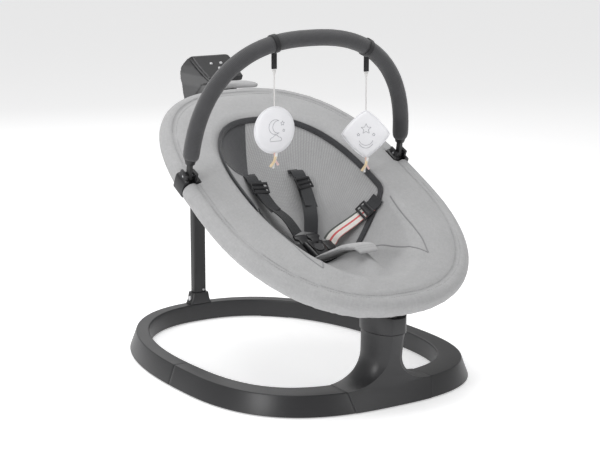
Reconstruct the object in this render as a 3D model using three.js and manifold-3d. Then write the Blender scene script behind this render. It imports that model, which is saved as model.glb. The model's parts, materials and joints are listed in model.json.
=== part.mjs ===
// Baby swing: a ring base with a front column and a rear post that carry an oval hammock seat.
// Units are millimetres, +Z is up, -Y is the front (foot end) and +X is the sitter's left side.
import * as THREE from "three";
import { mergeVertices } from "three/addons/utils/BufferGeometryUtils.js";
import Module from "manifold-3d";

const wasm = await Module();
wasm.setup();

// ---------------------------------------------------------------- driving dimensions
const GAP = 0.3; // air between two pieces that touch
const WALL = 3; // moulded plastic wall

// Base ring, measured on its outer bottom edge.
const RING_MID_Y = -41; // where the ring is widest
const RING_FRONT = 280;
const RING_REAR = 398;
const RING_HALF_WIDTH = 258;
const RING_FRONT_POWER = 2.75;
const RING_REAR_POWER = 2.3;
const RING_HEIGHT = 35;
const RING_LIFT = 1.5; // feet stand this far below the ring
const RING_DRAFT = 12.5; // outer wall leans in by this much
const BAND_REAR = 23.3; // flat top band
const BAND_FRONT = 50.6;
const BAND_POWER = 2.9;
const PEDESTAL_HALF = 86; // front piece of the ring
const RAIL_END_Y = -16; // seam between a rail and the rear arc

// Column and collar.
const COLUMN_HALF_X = 30;
const COLUMN_HALF_Y = 43;
const COLUMN_Y = -282;
const COLUMN_TOP = 123;
const COLUMN_BLEND_TOP = 78; // where the flare has become the plain column
const COLLAR_MARGIN = 2;
const COLLAR_SEAM = 1.6;
const COLLAR_SLOPE = 0.508;
const COLLAR_FRONT_TOP = 152;

// Seat hoop plane.
const HOOP_TILT = THREE.MathUtils.degToRad(26.9);
const HOOP_CENTRE = new THREE.Vector3(0, -94.5, 307.4);
const HOOP_FRONT = 294;
const HOOP_REAR = 342;
const HOOP_HALF_WIDTH = 234;
const HOOP_FRONT_POWER = 2.28;
const HOOP_REAR_POWER = 2.65;
const TUBE_RADIUS = 9;
const TUBE_INSET = 17; // tube centre inside the cover's outline

// Cover and bucket, in the hoop plane's own axes (x, s, h).
const COVER_THICKNESS = 4;
const RIM_TOP = 15;
const RIM_UNDER = 24;
const PIPING_HALF_WIDTH = 138;
const PIPING_HEAD = 249;
const PIPING_FOOT = -225;
const PIPING_MID = 24;
const PIPING_HEIGHT = 10;
const PIPING_RADIUS = 4;
const BUCKET_S = -30;
const BUCKET_DEPTH = 104;
const SIDE_FALL = 2.1; // how steeply the bucket drops at the sides and head
const FOOT_FALL = 1.3; // and towards the feet
const RIDGE_HEIGHT = 2; // the crotch ridge between the leg hollows
const RIDGE_WIDTH = 34;
const RIDGE_FROM = 60;
const RIDGE_TO = 150;

// Swing axis.
const FRONT_PIVOT = new THREE.Vector3(0, -282, 160);
const REAR_PIVOT = new THREE.Vector3(0, 244, 480);
const SHAFT_RADIUS = 6;
const BUSH_RADIUS = 10;
const SHAFT_CLEARANCE = 0.35;

// Rear post.
const POST_X = 26;
const POST_DEPTH = 18;
const POST_CORNER = 5;
const POST_TOP = 436;
const POST_FOOT_X = 40;
const POST_FOOT_DEPTH = 24;
const POST_FOOT_HEIGHT = 22;
const HEAD_HALF_WIDTH = 40;
const HEAD_NECK_HALF = 18;
const HEAD_COVER_THICKNESS = 9;

// Toy bar.
const BAR_S = 88; // feet of the arch along the hoop
const BAR_HALF_WIDTH = 217;
const BAR_RISE = 223;
const BAR_POWER = 2.45;
const BAR_FOOT = 20; // arch starts this far above the hoop plane
const BAR_LEAN = THREE.MathUtils.degToRad(9.5); // forward from upright
const BAR_RADIUS = 14.5;
const ROD_RADIUS = 6;
const CLAMP_WIDTH = 30;

// Harness.
const WEB_WIDTH = 25;
const WEB_THICKNESS = 2.2;

// ---------------------------------------------------------------- helpers
const V = (x, y, z) => new THREE.Vector3(x, y, z);

function toSolid(geometry) {
  const bare = geometry.index ? geometry.toNonIndexed() : geometry.clone();
  bare.deleteAttribute("normal");
  bare.deleteAttribute("uv");
  const merged = mergeVertices(bare, 1e-4);
  const vertProperties = new Float32Array(merged.attributes.position.array);
  const triVerts = new Uint32Array(merged.index.array);
  const solid = new wasm.Manifold(new wasm.Mesh({ numProp: 3, vertProperties, triVerts }));
  return solid;
}

function toGeometry(solid) {
  const mesh = solid.getMesh();
  const geometry = new THREE.BufferGeometry();
  geometry.setAttribute("position", new THREE.BufferAttribute(new Float32Array(mesh.vertProperties), 3));
  geometry.setIndex(new THREE.BufferAttribute(new Uint32Array(mesh.triVerts), 1));
  return geometry;
}

const cut = (base, ...tools) =>
  toGeometry(tools.reduce((solid, tool) => solid.subtract(toSolid(tool)), toSolid(base)));
const join = (base, ...more) =>
  toGeometry(more.reduce((solid, other) => solid.add(toSolid(other)), toSolid(base)));
const common = (a, b) => toGeometry(toSolid(a).intersect(toSolid(b)));

// Skins a row of closed sections. A loop joins the last section to the first;
// otherwise both ends are capped.
function loft(sections, { loop = false } = {}) {
  const count = sections[0].length;
  const positions = sections.flat().flatMap((p) => [p.x, p.y, p.z]);
  const index = [];
  const rows = loop ? sections.length : sections.length - 1;
  for (let i = 0; i < rows; i++) {
    const a = i * count;
    const b = ((i + 1) % sections.length) * count;
    for (let j = 0; j < count; j++) {
      const k = (j + 1) % count;
      index.push(a + j, a + k, b + k, a + j, b + k, b + j);
    }
  }
  if (!loop) {
    capSection(sections[0], 0, index, true);
    capSection(sections.at(-1), (sections.length - 1) * count, index, false);
  }
  const geometry = new THREE.BufferGeometry();
  geometry.setAttribute("position", new THREE.Float32BufferAttribute(positions, 3));
  geometry.setIndex(index);
  return facingOut(geometry);
}

function capSection(section, start, index, reversed) {
  const centre = section.reduce((sum, p) => sum.add(p), V(0, 0, 0)).divideScalar(section.length);
  const normal = V(0, 0, 0);
  section.forEach((p, i) => {
    const q = section[(i + 1) % section.length];
    normal.add(p.clone().sub(centre).cross(q.clone().sub(centre)));
  });
  normal.normalize();
  const across = section[0].clone().sub(centre).projectOnPlane(normal).normalize();
  const along = normal.clone().cross(across);
  const flat = section.map((p) => {
    const d = p.clone().sub(centre);
    return new THREE.Vector2(d.dot(across), d.dot(along));
  });
  for (const [a, b, c] of THREE.ShapeUtils.triangulateShape(flat, [])) {
    index.push(...(reversed ? [start + c, start + b, start + a] : [start + a, start + b, start + c]));
  }
}

function facingOut(geometry) {
  const p = geometry.attributes.position;
  const index = geometry.index.array;
  const [a, b, c] = [V(0, 0, 0), V(0, 0, 0), V(0, 0, 0)];
  let volume = 0;
  for (let i = 0; i < index.length; i += 3) {
    a.fromBufferAttribute(p, index[i]);
    b.fromBufferAttribute(p, index[i + 1]);
    c.fromBufferAttribute(p, index[i + 2]);
    volume += a.dot(b.cross(c));
  }
  if (volume < 0) {
    for (let i = 0; i < index.length; i += 3) [index[i + 1], index[i + 2]] = [index[i + 2], index[i + 1]];
  }
  return geometry;
}

// A point on an egg outline: one superellipse in front of the widest place and another behind it.
function eggPoint(angle, { halfWidth, front, rear, frontPower, rearPower }) {
  const c = Math.cos(angle);
  const s = Math.sin(angle);
  const power = s < 0 ? frontPower : rearPower;
  const half = s < 0 ? front : rear;
  const bend = (value) => Math.sign(value) * Math.abs(value) ** (2 / power);
  return new THREE.Vector2(halfWidth * bend(c), half * bend(s));
}

// The same outline at even steps along its length, starting at the foot end (-s) and going towards +X.
function eggOutline(shape, count) {
  const fine = [];
  const FINE_STEPS = 1440;
  for (let i = 0; i < FINE_STEPS; i++) {
    fine.push(eggPoint(-Math.PI / 2 + (2 * Math.PI * i) / FINE_STEPS, shape));
  }
  return evenly(fine, count);
}

function evenly(points, count) {
  const lengths = [0];
  for (let i = 0; i < points.length; i++) {
    lengths.push(lengths[i] + points[i].distanceTo(points[(i + 1) % points.length]));
  }
  const total = lengths.at(-1);
  const even = [];
  let k = 0;
  for (let i = 0; i < count; i++) {
    const target = (total * i) / count;
    while (lengths[k + 1] < target) k++;
    const t = (target - lengths[k]) / (lengths[k + 1] - lengths[k]);
    even.push(points[k].clone().lerp(points[(k + 1) % points.length], t));
  }
  return even;
}

function circle(radius, sides, stretch = 1) {
  return Array.from({ length: sides }, (_, i) => {
    const a = (2 * Math.PI * i) / sides;
    return new THREE.Vector2(radius * Math.cos(a), radius * stretch * Math.sin(a));
  });
}

// A bar of any section along a line between two points. `up` is where the section's second axis points.
function bar(from, to, section, up = V(0, 0, 1)) {
  const along = to.clone().sub(from).normalize();
  const side = along.clone().cross(up).normalize();
  const top = side.clone().cross(along);
  const place = (p, q) => p.clone().addScaledVector(side, q.x).addScaledVector(top, q.y);
  return loft([section.map((q) => place(from, q)), section.map((q) => place(to, q))]);
}

const rod = (from, to, radius, sides = 18) =>
  bar(
    from,
    to,
    circle(radius, sides),
    Math.abs(to.clone().sub(from).normalize().z) > 0.9 ? V(0, 1, 0) : V(0, 0, 1),
  );

function ringRod(from, to, outer, inner, sides = 18) {
  const d = to.clone().sub(from).normalize();
  return cut(rod(from, to, outer, sides), rod(from.clone().sub(d), to.clone().add(d), inner, sides));
}

function roundedRect(width, depth, corner, steps = 3) {
  const points = [];
  const corners = [
    [1, 1, 0],
    [-1, 1, 1],
    [-1, -1, 2],
    [1, -1, 3],
  ];
  for (const [sx, sy, quarter] of corners) {
    for (let i = 0; i <= steps; i++) {
      const a = (quarter + i / steps) * (Math.PI / 2);
      const x = sx * (width / 2 - corner) + corner * Math.cos(a);
      const y = sy * (depth / 2 - corner) + corner * Math.sin(a);
      points.push(new THREE.Vector2(x, y));
    }
  }
  return points;
}

function block(width, depth, height, centre, corner = 2) {
  const base = roundedRect(width, depth, corner);
  const at = (z) => base.map((q) => V(centre.x + q.x, centre.y + q.y, centre.z + z));
  return loft([at(-height / 2), at(height / 2)]);
}

// A tube that follows points, with an optional hole. Open runs only.
function tubeAlong(points, radius, sides, steps, hole = 0) {
  const shape = new THREE.Shape(circle(radius, sides));
  if (hole > 0) shape.holes.push(new THREE.Path(circle(hole, sides).reverse()));
  const extrudePath = new THREE.CatmullRomCurve3(points, false, "centripetal");
  return mergeVertices(
    new THREE.ExtrudeGeometry(shape, { extrudePath, steps, curveSegments: sides }),
    1e-4,
  );
}

// ---------------------------------------------------------------- seat axes
const ALONG = V(0, Math.cos(HOOP_TILT), Math.sin(HOOP_TILT));
const NORMAL = V(0, -Math.sin(HOOP_TILT), Math.cos(HOOP_TILT));
const ACROSS = V(1, 0, 0);
const seatPoint = (x, s, h) =>
  HOOP_CENTRE.clone().addScaledVector(ACROSS, x).addScaledVector(ALONG, s).addScaledVector(NORMAL, h);

const hoopShape = (inset) => ({
  halfWidth: HOOP_HALF_WIDTH - inset,
  front: HOOP_FRONT - inset,
  rear: HOOP_REAR - inset,
  frontPower: HOOP_FRONT_POWER,
  rearPower: HOOP_REAR_POWER,
});
const pipingShape = {
  halfWidth: PIPING_HALF_WIDTH,
  front: PIPING_MID - PIPING_FOOT,
  rear: PIPING_HEAD - PIPING_MID,
  frontPower: 2,
  rearPower: 2.5,
};

function outlineRay(shape, angle, offset) {
  const p = eggPoint(angle, shape);
  return new THREE.Vector2(p.x, p.y + offset);
}

const smoothStep = (a, b, t) => THREE.MathUtils.smoothstep(t, a, b);

// Depth of the bucket's upper face: v runs from 0 at the piping to 1 at the bucket's lowest place.
function sinkAt(x, s, v, edgeS) {
  const footward = smoothStep(0, 1, (BUCKET_S - edgeS) / (BUCKET_S - PIPING_FOOT));
  const power = SIDE_FALL + (FOOT_FALL - SIDE_FALL) * footward;
  const h = PIPING_HEIGHT - (PIPING_HEIGHT + BUCKET_DEPTH) * (1 - (1 - v) ** power);
  const ridge = Math.exp(-((x / RIDGE_WIDTH) ** 2)) * smoothStep(RIDGE_FROM, RIDGE_TO, -s);
  return h + (Math.max(h, RIDGE_HEIGHT) - h) * ridge;
}

function bucketPoint(angle, v) {
  const edge = outlineRay(pipingShape, angle, PIPING_MID);
  const x = edge.x * (1 - v);
  const s = edge.y + (BUCKET_S - edge.y) * v;
  return V(x, s, sinkAt(x, s, v, edge.y));
}

// Height of the seat's upper face over a place (x, s) inside the piping oval.
function bucketHeight(x, s) {
  let low = 0;
  let high = 1;
  let edgeS = s;
  for (let i = 0; i < 30; i++) {
    const v = (low + high) / 2;
    const cx = x / (1 - v);
    const cs = (s - BUCKET_S * v) / (1 - v) - PIPING_MID;
    const power = cs < 0 ? pipingShape.frontPower : pipingShape.rearPower;
    const half = cs < 0 ? pipingShape.front : pipingShape.rear;
    const reach = Math.abs(cx / pipingShape.halfWidth) ** power + Math.abs(cs / half) ** power;
    edgeS = cs + PIPING_MID;
    if (reach < 1) low = v;
    else high = v;
  }
  return sinkAt(x, s, low, edgeS);
}

// ---------------------------------------------------------------- colours
const COLOURS = {
  shell: [0x2b2b2d, 0.55, 0],
  shellTop: [0x39393b, 0.5, 0],
  post: [0x252527, 0.4, 0.2],
  steel: [0xb8bcc0, 0.3, 1],
  rubber: [0x18181a, 0.9, 0],
  copper: [0xb06a38, 0.4, 1],
  board: [0x1f5a3a, 0.5, 0],
  bush: [0xe8e6de, 0.5, 0],
  fabric: [0x9a9a9c, 0.9, 0],
  piping: [0x3a3b3f, 0.8, 0],
  webbing: [0x2c2d30, 0.85, 0],
  webbingWhite: [0xe6e2dc, 0.85, 0],
  buckle: [0x1c1c1e, 0.45, 0],
  sleeve: [0x36373a, 0.9, 0],
  toy: [0xf2f2f4, 0.9, 0],
};
const materials = Object.fromEntries(
  Object.entries(COLOURS).map(([name, [color, roughness, metalness]]) => [
    name,
    new THREE.MeshStandardMaterial({ name, color, roughness, metalness }),
  ]),
);

const swing = new THREE.Group();
swing.name = "baby_swing";
function add(name, geometry, material) {
  const mesh = new THREE.Mesh(geometry, materials[material].clone());
  mesh.name = name;
  swing.add(mesh);
  return mesh;
}

// ---------------------------------------------------------------- base ring
const ringShape = {
  halfWidth: RING_HALF_WIDTH,
  front: RING_FRONT,
  rear: RING_REAR,
  frontPower: RING_FRONT_POWER,
  rearPower: RING_REAR_POWER,
};
const RING_STEPS = 720;
const ringLine = eggOutline(ringShape, RING_STEPS);

function ringSample(position) {
  const i = Math.floor(position);
  const wrap = (k) => ringLine[((k % RING_STEPS) + RING_STEPS) % RING_STEPS];
  const point = wrap(i).clone().lerp(wrap(i + 1), position - i);
  const tangent = wrap(i + 4).clone().sub(wrap(i - 3)).normalize();
  const inward = new THREE.Vector2(-tangent.y, tangent.x);
  const t = (RING_REAR - point.y) / (RING_REAR + RING_FRONT);
  return { point, inward, band: BAND_REAR + (BAND_FRONT - BAND_REAR) * t ** BAND_POWER };
}

// A place on the ring: `inset` runs inwards from the outer bottom edge.
function ringPoint(position, inset, z) {
  const { point, inward } = ringSample(position);
  return V(point.x + inward.x * inset, point.y + inward.y * inset + RING_MID_Y, z);
}

function ringChannel(position) {
  const { band } = ringSample(position);
  const inner = RING_DRAFT + band;
  return [
    ringPoint(position, 0, RING_LIFT),
    ringPoint(position, RING_DRAFT, RING_HEIGHT),
    ringPoint(position, inner, RING_HEIGHT),
    ringPoint(position, inner, RING_LIFT),
    ringPoint(position, inner - WALL, RING_LIFT),
    ringPoint(position, inner - WALL, RING_HEIGHT - WALL),
    ringPoint(position, RING_DRAFT + WALL, RING_HEIGHT - WALL),
    ringPoint(position, WALL * 1.1, RING_LIFT),
  ];
}

// The first place along the ring (0 at the front, going towards +X) where a test holds.
function ringFind(test) {
  for (let k = 0; k < RING_STEPS; k++) if (test(ringLine[k])) return k;
  return RING_STEPS;
}
const pedestalEnd = ringFind((p) => p.x > PEDESTAL_HALF);
const railEnd = ringFind((p) => p.y > RAIL_END_Y - RING_MID_Y);
const ringStepLength = ringLine[0].distanceTo(ringLine[1]);
const seam = GAP / ringStepLength;

function ringPiece(from, to, steps) {
  const sections = [];
  for (let i = 0; i <= steps; i++) sections.push(ringChannel(from + ((to - from) * i) / steps));
  return loft(sections);
}

add("rail_left", ringPiece(pedestalEnd + seam, railEnd - seam, 18), "shell");
add("rail_right", ringPiece(RING_STEPS - railEnd + seam, RING_STEPS - pedestalEnd - seam, 18), "shell");
const rearArc = ringPiece(railEnd + seam, RING_STEPS - railEnd - seam, 44);

// ---------------------------------------------------------------- pedestal
// The footprint of the ring's front piece, walked as a closed outline of `count` points.
function pedestalFootprint(inset, z, shrink, count) {
  const corner = [];
  const STEPS = 16;
  const reach = pedestalEnd - shrink / ringStepLength;
  const draft = (RING_DRAFT * (z - RING_LIFT)) / (RING_HEIGHT - RING_LIFT);
  for (let i = 0; i <= STEPS; i++) {
    const p = ringPoint(-reach + (2 * reach * i) / STEPS, draft + inset, 0);
    corner.push(new THREE.Vector2(p.x, p.y));
  }
  for (let i = STEPS; i >= 0; i--) {
    const position = -reach + (2 * reach * i) / STEPS;
    const p = ringPoint(position, RING_DRAFT + ringSample(position).band - inset, 0);
    corner.push(new THREE.Vector2(p.x, p.y));
  }
  return resampleByAngle(corner, count);
}

// Points of an outline at even angles round the column's centre.
function resampleByAngle(outline, count) {
  const centre = new THREE.Vector2(0, COLUMN_Y);
  const points = [];
  for (let i = 0; i < count; i++) {
    const a = (2 * Math.PI * (i + 0.5)) / count;
    const ray = new THREE.Vector2(Math.cos(a), Math.sin(a));
    let best = 0;
    for (let k = 0; k < outline.length; k++) {
      const p = outline[k].clone().sub(centre);
      const q = outline[(k + 1) % outline.length].clone().sub(centre);
      const e = q.clone().sub(p);
      const det = ray.x * e.y - ray.y * e.x;
      if (Math.abs(det) < 1e-9) continue;
      const t = (p.x * e.y - p.y * e.x) / det;
      const u = (p.x * ray.y - p.y * ray.x) / det;
      if (u >= -1e-6 && u <= 1 + 1e-6 && t > best) best = t;
    }
    points.push(new THREE.Vector2(centre.x + ray.x * best, centre.y + ray.y * best));
  }
  return points;
}

const COLUMN_POWER = 2.3; // 2 would be an ellipse; more is squarer
function columnOutline(inset, count) {
  return Array.from({ length: count }, (_, i) => {
    const a = (2 * Math.PI * (i + 0.5)) / count;
    const halfX = COLUMN_HALF_X - inset;
    const halfY = COLUMN_HALF_Y - inset;
    const across = (Math.abs(Math.cos(a)) / halfX) ** COLUMN_POWER;
    const along = (Math.abs(Math.sin(a)) / halfY) ** COLUMN_POWER;
    const r = 1 / (across + along) ** (1 / COLUMN_POWER);
    return new THREE.Vector2(r * Math.cos(a), COLUMN_Y + r * Math.sin(a));
  });
}

const PEDESTAL_SIDES = 44;
function pedestalBody(inset, bottom, top) {
  const sections = [];
  const place = (outline, z) => outline.map((q) => V(q.x, q.y, z));
  const flat = pedestalFootprint(inset, RING_LIFT, GAP + inset, PEDESTAL_SIDES);
  const shoulder = pedestalFootprint(inset, RING_HEIGHT, GAP + inset, PEDESTAL_SIDES);
  const column = columnOutline(inset, PEDESTAL_SIDES);
  sections.push(place(flat, bottom));
  sections.push(place(shoulder, RING_HEIGHT - inset));
  const FLARE_STEPS = 6;
  for (let i = 1; i <= FLARE_STEPS; i++) {
    const a = (i / FLARE_STEPS) * (Math.PI / 2);
    const z = RING_HEIGHT - inset + (COLUMN_BLEND_TOP - RING_HEIGHT) * (1 - Math.cos(a));
    const t = Math.sin(a) ** 0.9;
    sections.push(place(shoulder.map((q, k) => q.clone().lerp(column[k], t)), z));
  }
  sections.push(place(column, top));
  return loft(sections);
}

const pedestalOuter = pedestalBody(0, RING_LIFT, COLUMN_TOP);
const pedestalInner = pedestalBody(WALL, RING_LIFT - 1, COLUMN_TOP - 6);
const leverSlot = block(34, 30, 20, V(0, COLUMN_Y, COLUMN_TOP), 4);
const innerWallY = COLUMN_Y + COLUMN_HALF_Y;
const buttonHole = rod(V(0, innerWallY - 10, 96), V(0, innerWallY + 10, 96), 8.5);
const inletHole = rod(V(0, innerWallY - 10, 66), V(0, innerWallY + 16, 66), 5);
add("pedestal_shell", cut(pedestalOuter, pedestalInner, leverSlot, buttonHole, inletHole), "shell");

const COVER_TOP = 5;
const COVER_MARGIN = 3.2;
const coverInset = WALL + COVER_MARGIN;
const coverOutline = (z) =>
  pedestalFootprint(coverInset, z, coverInset + GAP, PEDESTAL_SIDES).map((q) => V(q.x, q.y, z));
add("bottom_cover", loft([coverOutline(RING_LIFT), coverOutline(COVER_TOP)]), "shell");

const BUTTON_REST = 1.5;
add(
  "power_button",
  rod(V(0, innerWallY - 6, 96), V(0, innerWallY + BUTTON_REST, 96), 8.5 - GAP),
  "shellTop",
);
add("power_inlet", ringRod(V(0, innerWallY - 8, 66), V(0, innerWallY + 0.5, 66), 5 - GAP, 2.8), "buckle");

add("control_board", block(46, 26, 2, V(-49, COLUMN_Y + 2, COVER_TOP + 8), 1), "board");
add(
  "speaker",
  rod(V(48, COLUMN_Y + 2, COVER_TOP + GAP), V(48, COLUMN_Y + 2, COVER_TOP + 14), 15),
  "buckle",
);

const COIL_CENTRE = V(0, COLUMN_Y, 62);
const coil = ringRod(
  V(0, COLUMN_Y - 9, COIL_CENTRE.z - 14),
  V(0, COLUMN_Y + 9, COIL_CENTRE.z - 14),
  17,
  7,
  20,
);
add("drive_coil", coil, "copper");
const coilBracket = cut(
  block(44, 26, 40, V(0, COLUMN_Y, COVER_TOP + GAP + 20), 2),
  rod(V(0, COLUMN_Y - 10, COIL_CENTRE.z - 14), V(0, COLUMN_Y + 10, COIL_CENTRE.z - 14), 17 + GAP, 20),
  block(24, 60, 30, V(0, COLUMN_Y, COVER_TOP + 40), 1),
);
add("coil_bracket", coilBracket, "shellTop");

// ---------------------------------------------------------------- feet
function foot(name, position, halfSteps) {
  const sections = [];
  for (let i = 0; i <= 6; i++) {
    const at = position - halfSteps + (2 * halfSteps * i) / 6;
    const inner = RING_DRAFT + ringSample(at).band - WALL - GAP;
    const outer = WALL * 1.1 + GAP + 2.5;
    const rise = (z) => outer + (RING_DRAFT * z) / RING_HEIGHT;
    sections.push([
      ringPoint(at, outer, 0),
      ringPoint(at, rise(12), 12),
      ringPoint(at, inner, 12),
      ringPoint(at, inner, 0),
    ]);
  }
  add(name, loft(sections), "rubber");
}
const frontFoot = pedestalEnd + 26;
const rearFoot = Math.round(RING_STEPS * 0.41);
foot("foot_front_left", frontFoot, 12);
foot("foot_front_right", RING_STEPS - frontFoot, 12);
foot("foot_rear_left", rearFoot, 12);
foot("foot_rear_right", RING_STEPS - rearFoot, 12);

// ---------------------------------------------------------------- swing axis
const AXIS = REAR_PIVOT.clone().sub(FRONT_PIVOT).normalize();
const onAxis = (origin, distance) => origin.clone().addScaledVector(AXIS, distance);

// ---------------------------------------------------------------- collar and front bearing
function collarSections(inset, bottom, topOffset) {
  const outline = columnOutline(inset - COLLAR_MARGIN, PEDESTAL_SIDES);
  const top = (y) => COLLAR_FRONT_TOP + (y - (COLUMN_Y - COLUMN_HALF_Y)) * COLLAR_SLOPE + topOffset;
  return loft([outline.map((q) => V(q.x, q.y, bottom)), outline.map((q) => V(q.x, q.y, top(q.y)))]);
}
const collarBottom = COLUMN_TOP + COLLAR_SEAM;
const BEARING_WALL = 9;
const bearingWall = (distance) => {
  const centre = onAxis(FRONT_PIVOT, distance);
  return common(
    collarSections(WALL - 1, collarBottom, -1),
    block(80, BEARING_WALL, 90, V(0, centre.y, centre.z), 1),
  );
};
const BEARING_REACH = 26;
const collarShell = cut(collarSections(0, collarBottom, 0), collarSections(WALL, collarBottom - 1, 2));
const collarWalls = join(collarShell, bearingWall(-BEARING_REACH), bearingWall(BEARING_REACH));
const shaftRoom = rod(
  onAxis(FRONT_PIVOT, -BEARING_REACH - 10),
  onAxis(FRONT_PIVOT, BEARING_REACH + 10),
  BUSH_RADIUS + GAP,
);
add("front_collar", cut(collarWalls, shaftRoom), "shell");
for (const [name, sign] of [
  ["front_bush_outer", -1],
  ["front_bush_inner", 1],
]) {
  const middle = onAxis(FRONT_PIVOT, sign * BEARING_REACH);
  add(
    name,
    ringRod(onAxis(middle, -4), onAxis(middle, 4), BUSH_RADIUS, SHAFT_RADIUS + SHAFT_CLEARANCE),
    "bush",
  );
}

// ---------------------------------------------------------------- seat hoop, cradle and hanger
const HOOP_STEPS = 56;
const tubeLine = eggOutline(hoopShape(TUBE_INSET), HOOP_STEPS);
const tubeSections = (radius, sides) =>
  tubeLine.map((p, i) => {
    const next = tubeLine[(i + 1) % HOOP_STEPS];
    const last = tubeLine[(i + HOOP_STEPS - 1) % HOOP_STEPS];
    const t = next.clone().sub(last).normalize();
    return circle(radius, sides).map((q) => seatPoint(p.x + t.y * q.x, p.y - t.x * q.x, q.y));
  });
const hoopTube = loft(tubeSections(TUBE_RADIUS, 8), { loop: true });
const hoopRoom = loft(tubeSections(TUBE_RADIUS + GAP, 8), { loop: true });
add("seat_hoop", hoopTube, "post");

const shaftFrom = onAxis(FRONT_PIVOT, -32);
const shaftTo = onAxis(FRONT_PIVOT, 32);
add("front_pivot_shaft", rod(shaftFrom, shaftTo, SHAFT_RADIUS), "steel");
const pivotRoom = rod(onAxis(FRONT_PIVOT, -70), onAxis(FRONT_PIVOT, 70), SHAFT_RADIUS + GAP);

const HUB_HALF = 12;
const cradleHub = rod(onAxis(FRONT_PIVOT, -HUB_HALF), onAxis(FRONT_PIVOT, HUB_HALF), 12);
const hubTop = onAxis(FRONT_PIVOT, 0);
const neckTop = seatPoint(0, -212, -16);
const cradleNeck = bar(hubTop, neckTop, roundedRect(16, 22, 4), V(1, 0, 0));
const frontTube = -(HOOP_FRONT - TUBE_INSET);
const plateProfile = roundedRect(44, 9, 3);
const cradlePlate = bar(seatPoint(0, frontTube - 2, -13), seatPoint(0, -176, -17), plateProfile, NORMAL);
const cradle = cut(join(cradleHub, cradleNeck, cradlePlate), pivotRoom, hoopRoom);
add("front_cradle", cradle, "shell");

const LEVER_DROP = 19;
const LEVER_TOP = FRONT_PIVOT.clone().add(V(0, 0, -LEVER_DROP));
const magnetCentre = V(0, COLUMN_Y, COIL_CENTRE.z + 22);
const lever = bar(LEVER_TOP, magnetCentre.clone().add(V(0, 0, 8 + GAP)), roundedRect(8, 14, 2), V(0, 1, 0));
add("magnet_lever", lever, "steel");
add("drive_magnet", block(18, 16, 16, magnetCentre, 2), "steel");

const hangerReach = onAxis(REAR_PIVOT, -24);
const tubeRear = HOOP_REAR - TUBE_INSET;
const hangerBoss = rod(onAxis(REAR_PIVOT, -26), onAxis(REAR_PIVOT, -6), 12);
const hangerArm = bar(
  seatPoint(0, tubeRear - 14, -4),
  hangerReach.clone().addScaledVector(AXIS, 14),
  roundedRect(34, 20, 4),
  NORMAL,
);
const rearShaftFrom = onAxis(REAR_PIVOT, -24);
const rearShaftTo = onAxis(REAR_PIVOT, 40);
const rearRoom = rod(onAxis(REAR_PIVOT, -24 - GAP), onAxis(REAR_PIVOT, 60), SHAFT_RADIUS + GAP);
add("seat_hanger", cut(join(hangerBoss, hangerArm), rearRoom, hoopRoom), "shell");
add("rear_pivot_shaft", rod(rearShaftFrom, rearShaftTo, SHAFT_RADIUS), "steel");

// ---------------------------------------------------------------- rear post
const POST_Y = RING_MID_Y + RING_REAR - RING_DRAFT - BAND_REAR / 2;
const postSection = (width, depth, z, y = POST_Y) =>
  roundedRect(width, depth, POST_CORNER).map((q) => V(q.x, y + q.y, z));
const POST_SOCKET = 18; // the tube stands this deep in its foot
const postBottom = RING_HEIGHT + POST_FOOT_HEIGHT - POST_SOCKET;
const postTube = cut(
  loft([postSection(POST_X, POST_DEPTH, postBottom), postSection(POST_X, POST_DEPTH, POST_TOP)]),
  loft([
    postSection(POST_X - 5, POST_DEPTH - 5, postBottom - 1),
    postSection(POST_X - 5, POST_DEPTH - 5, POST_TOP + 1),
  ]),
);
const lockY = POST_Y;
const lockZ = RING_HEIGHT + POST_FOOT_HEIGHT / 2;
const lockHole = rod(V(-POST_FOOT_X, lockY, lockZ), V(0, lockY, lockZ), 5);
add("rear_post", cut(postTube, lockHole), "post");
const postFoot = cut(
  loft([
    postSection(POST_FOOT_X + 8, BAND_REAR - 1, RING_HEIGHT + GAP),
    postSection(POST_FOOT_X, POST_FOOT_DEPTH - 1, RING_HEIGHT + 8),
    postSection(POST_FOOT_X - 6, POST_FOOT_DEPTH, RING_HEIGHT + POST_FOOT_HEIGHT),
  ]),
  loft([
    postSection(POST_X + 2 * GAP, POST_DEPTH + 2 * GAP, postBottom - GAP),
    postSection(POST_X + 2 * GAP, POST_DEPTH + 2 * GAP, RING_HEIGHT + POST_FOOT_HEIGHT + 1),
  ]),
  lockHole,
);
add("post_foot", postFoot, "shell");
const lockButtonOut = POST_FOOT_X / 2 + 1;
add("post_lock_button", rod(V(-lockButtonOut, lockY, lockZ), V(-5, lockY, lockZ), 5 - GAP), "shellTop");
add("rear_arc", rearArc, "shell");

// ---------------------------------------------------------------- post head
// Side outline (y, z): the back follows the post, the top slopes forward and down over the seat's head end.
const HEAD_BACK = POST_Y + POST_DEPTH / 2 + 6;
const RIDGE = new THREE.Vector2(277, 524);
const LIP = new THREE.Vector2(219, 490);
const sideOutline = [
  [HEAD_BACK, 424],
  [HEAD_BACK, 446],
  [HEAD_BACK - 8, 476],
  [HEAD_BACK - 28, 502],
  [HEAD_BACK - 52, 518],
  [RIDGE.x + 5, RIDGE.y + 0.5],
  [RIDGE.x, RIDGE.y],
  [LIP.x, LIP.y],
  [LIP.x - 2, LIP.y - 8],
  [258, 474],
  [292, 454],
  [POST_Y - POST_DEPTH / 2 - 6, 436],
  [POST_Y - POST_DEPTH / 2 - 6, 424],
].map(([y, z]) => new THREE.Vector2(y, z));
const frontOutline = [
  [HEAD_NECK_HALF, 420],
  [HEAD_NECK_HALF + 1, 440],
  [HEAD_NECK_HALF + 8, 466],
  [HEAD_HALF_WIDTH - 3, 490],
  [HEAD_HALF_WIDTH, 506],
  [HEAD_HALF_WIDTH, 519],
  [HEAD_HALF_WIDTH - 4, 530],
];
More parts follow.
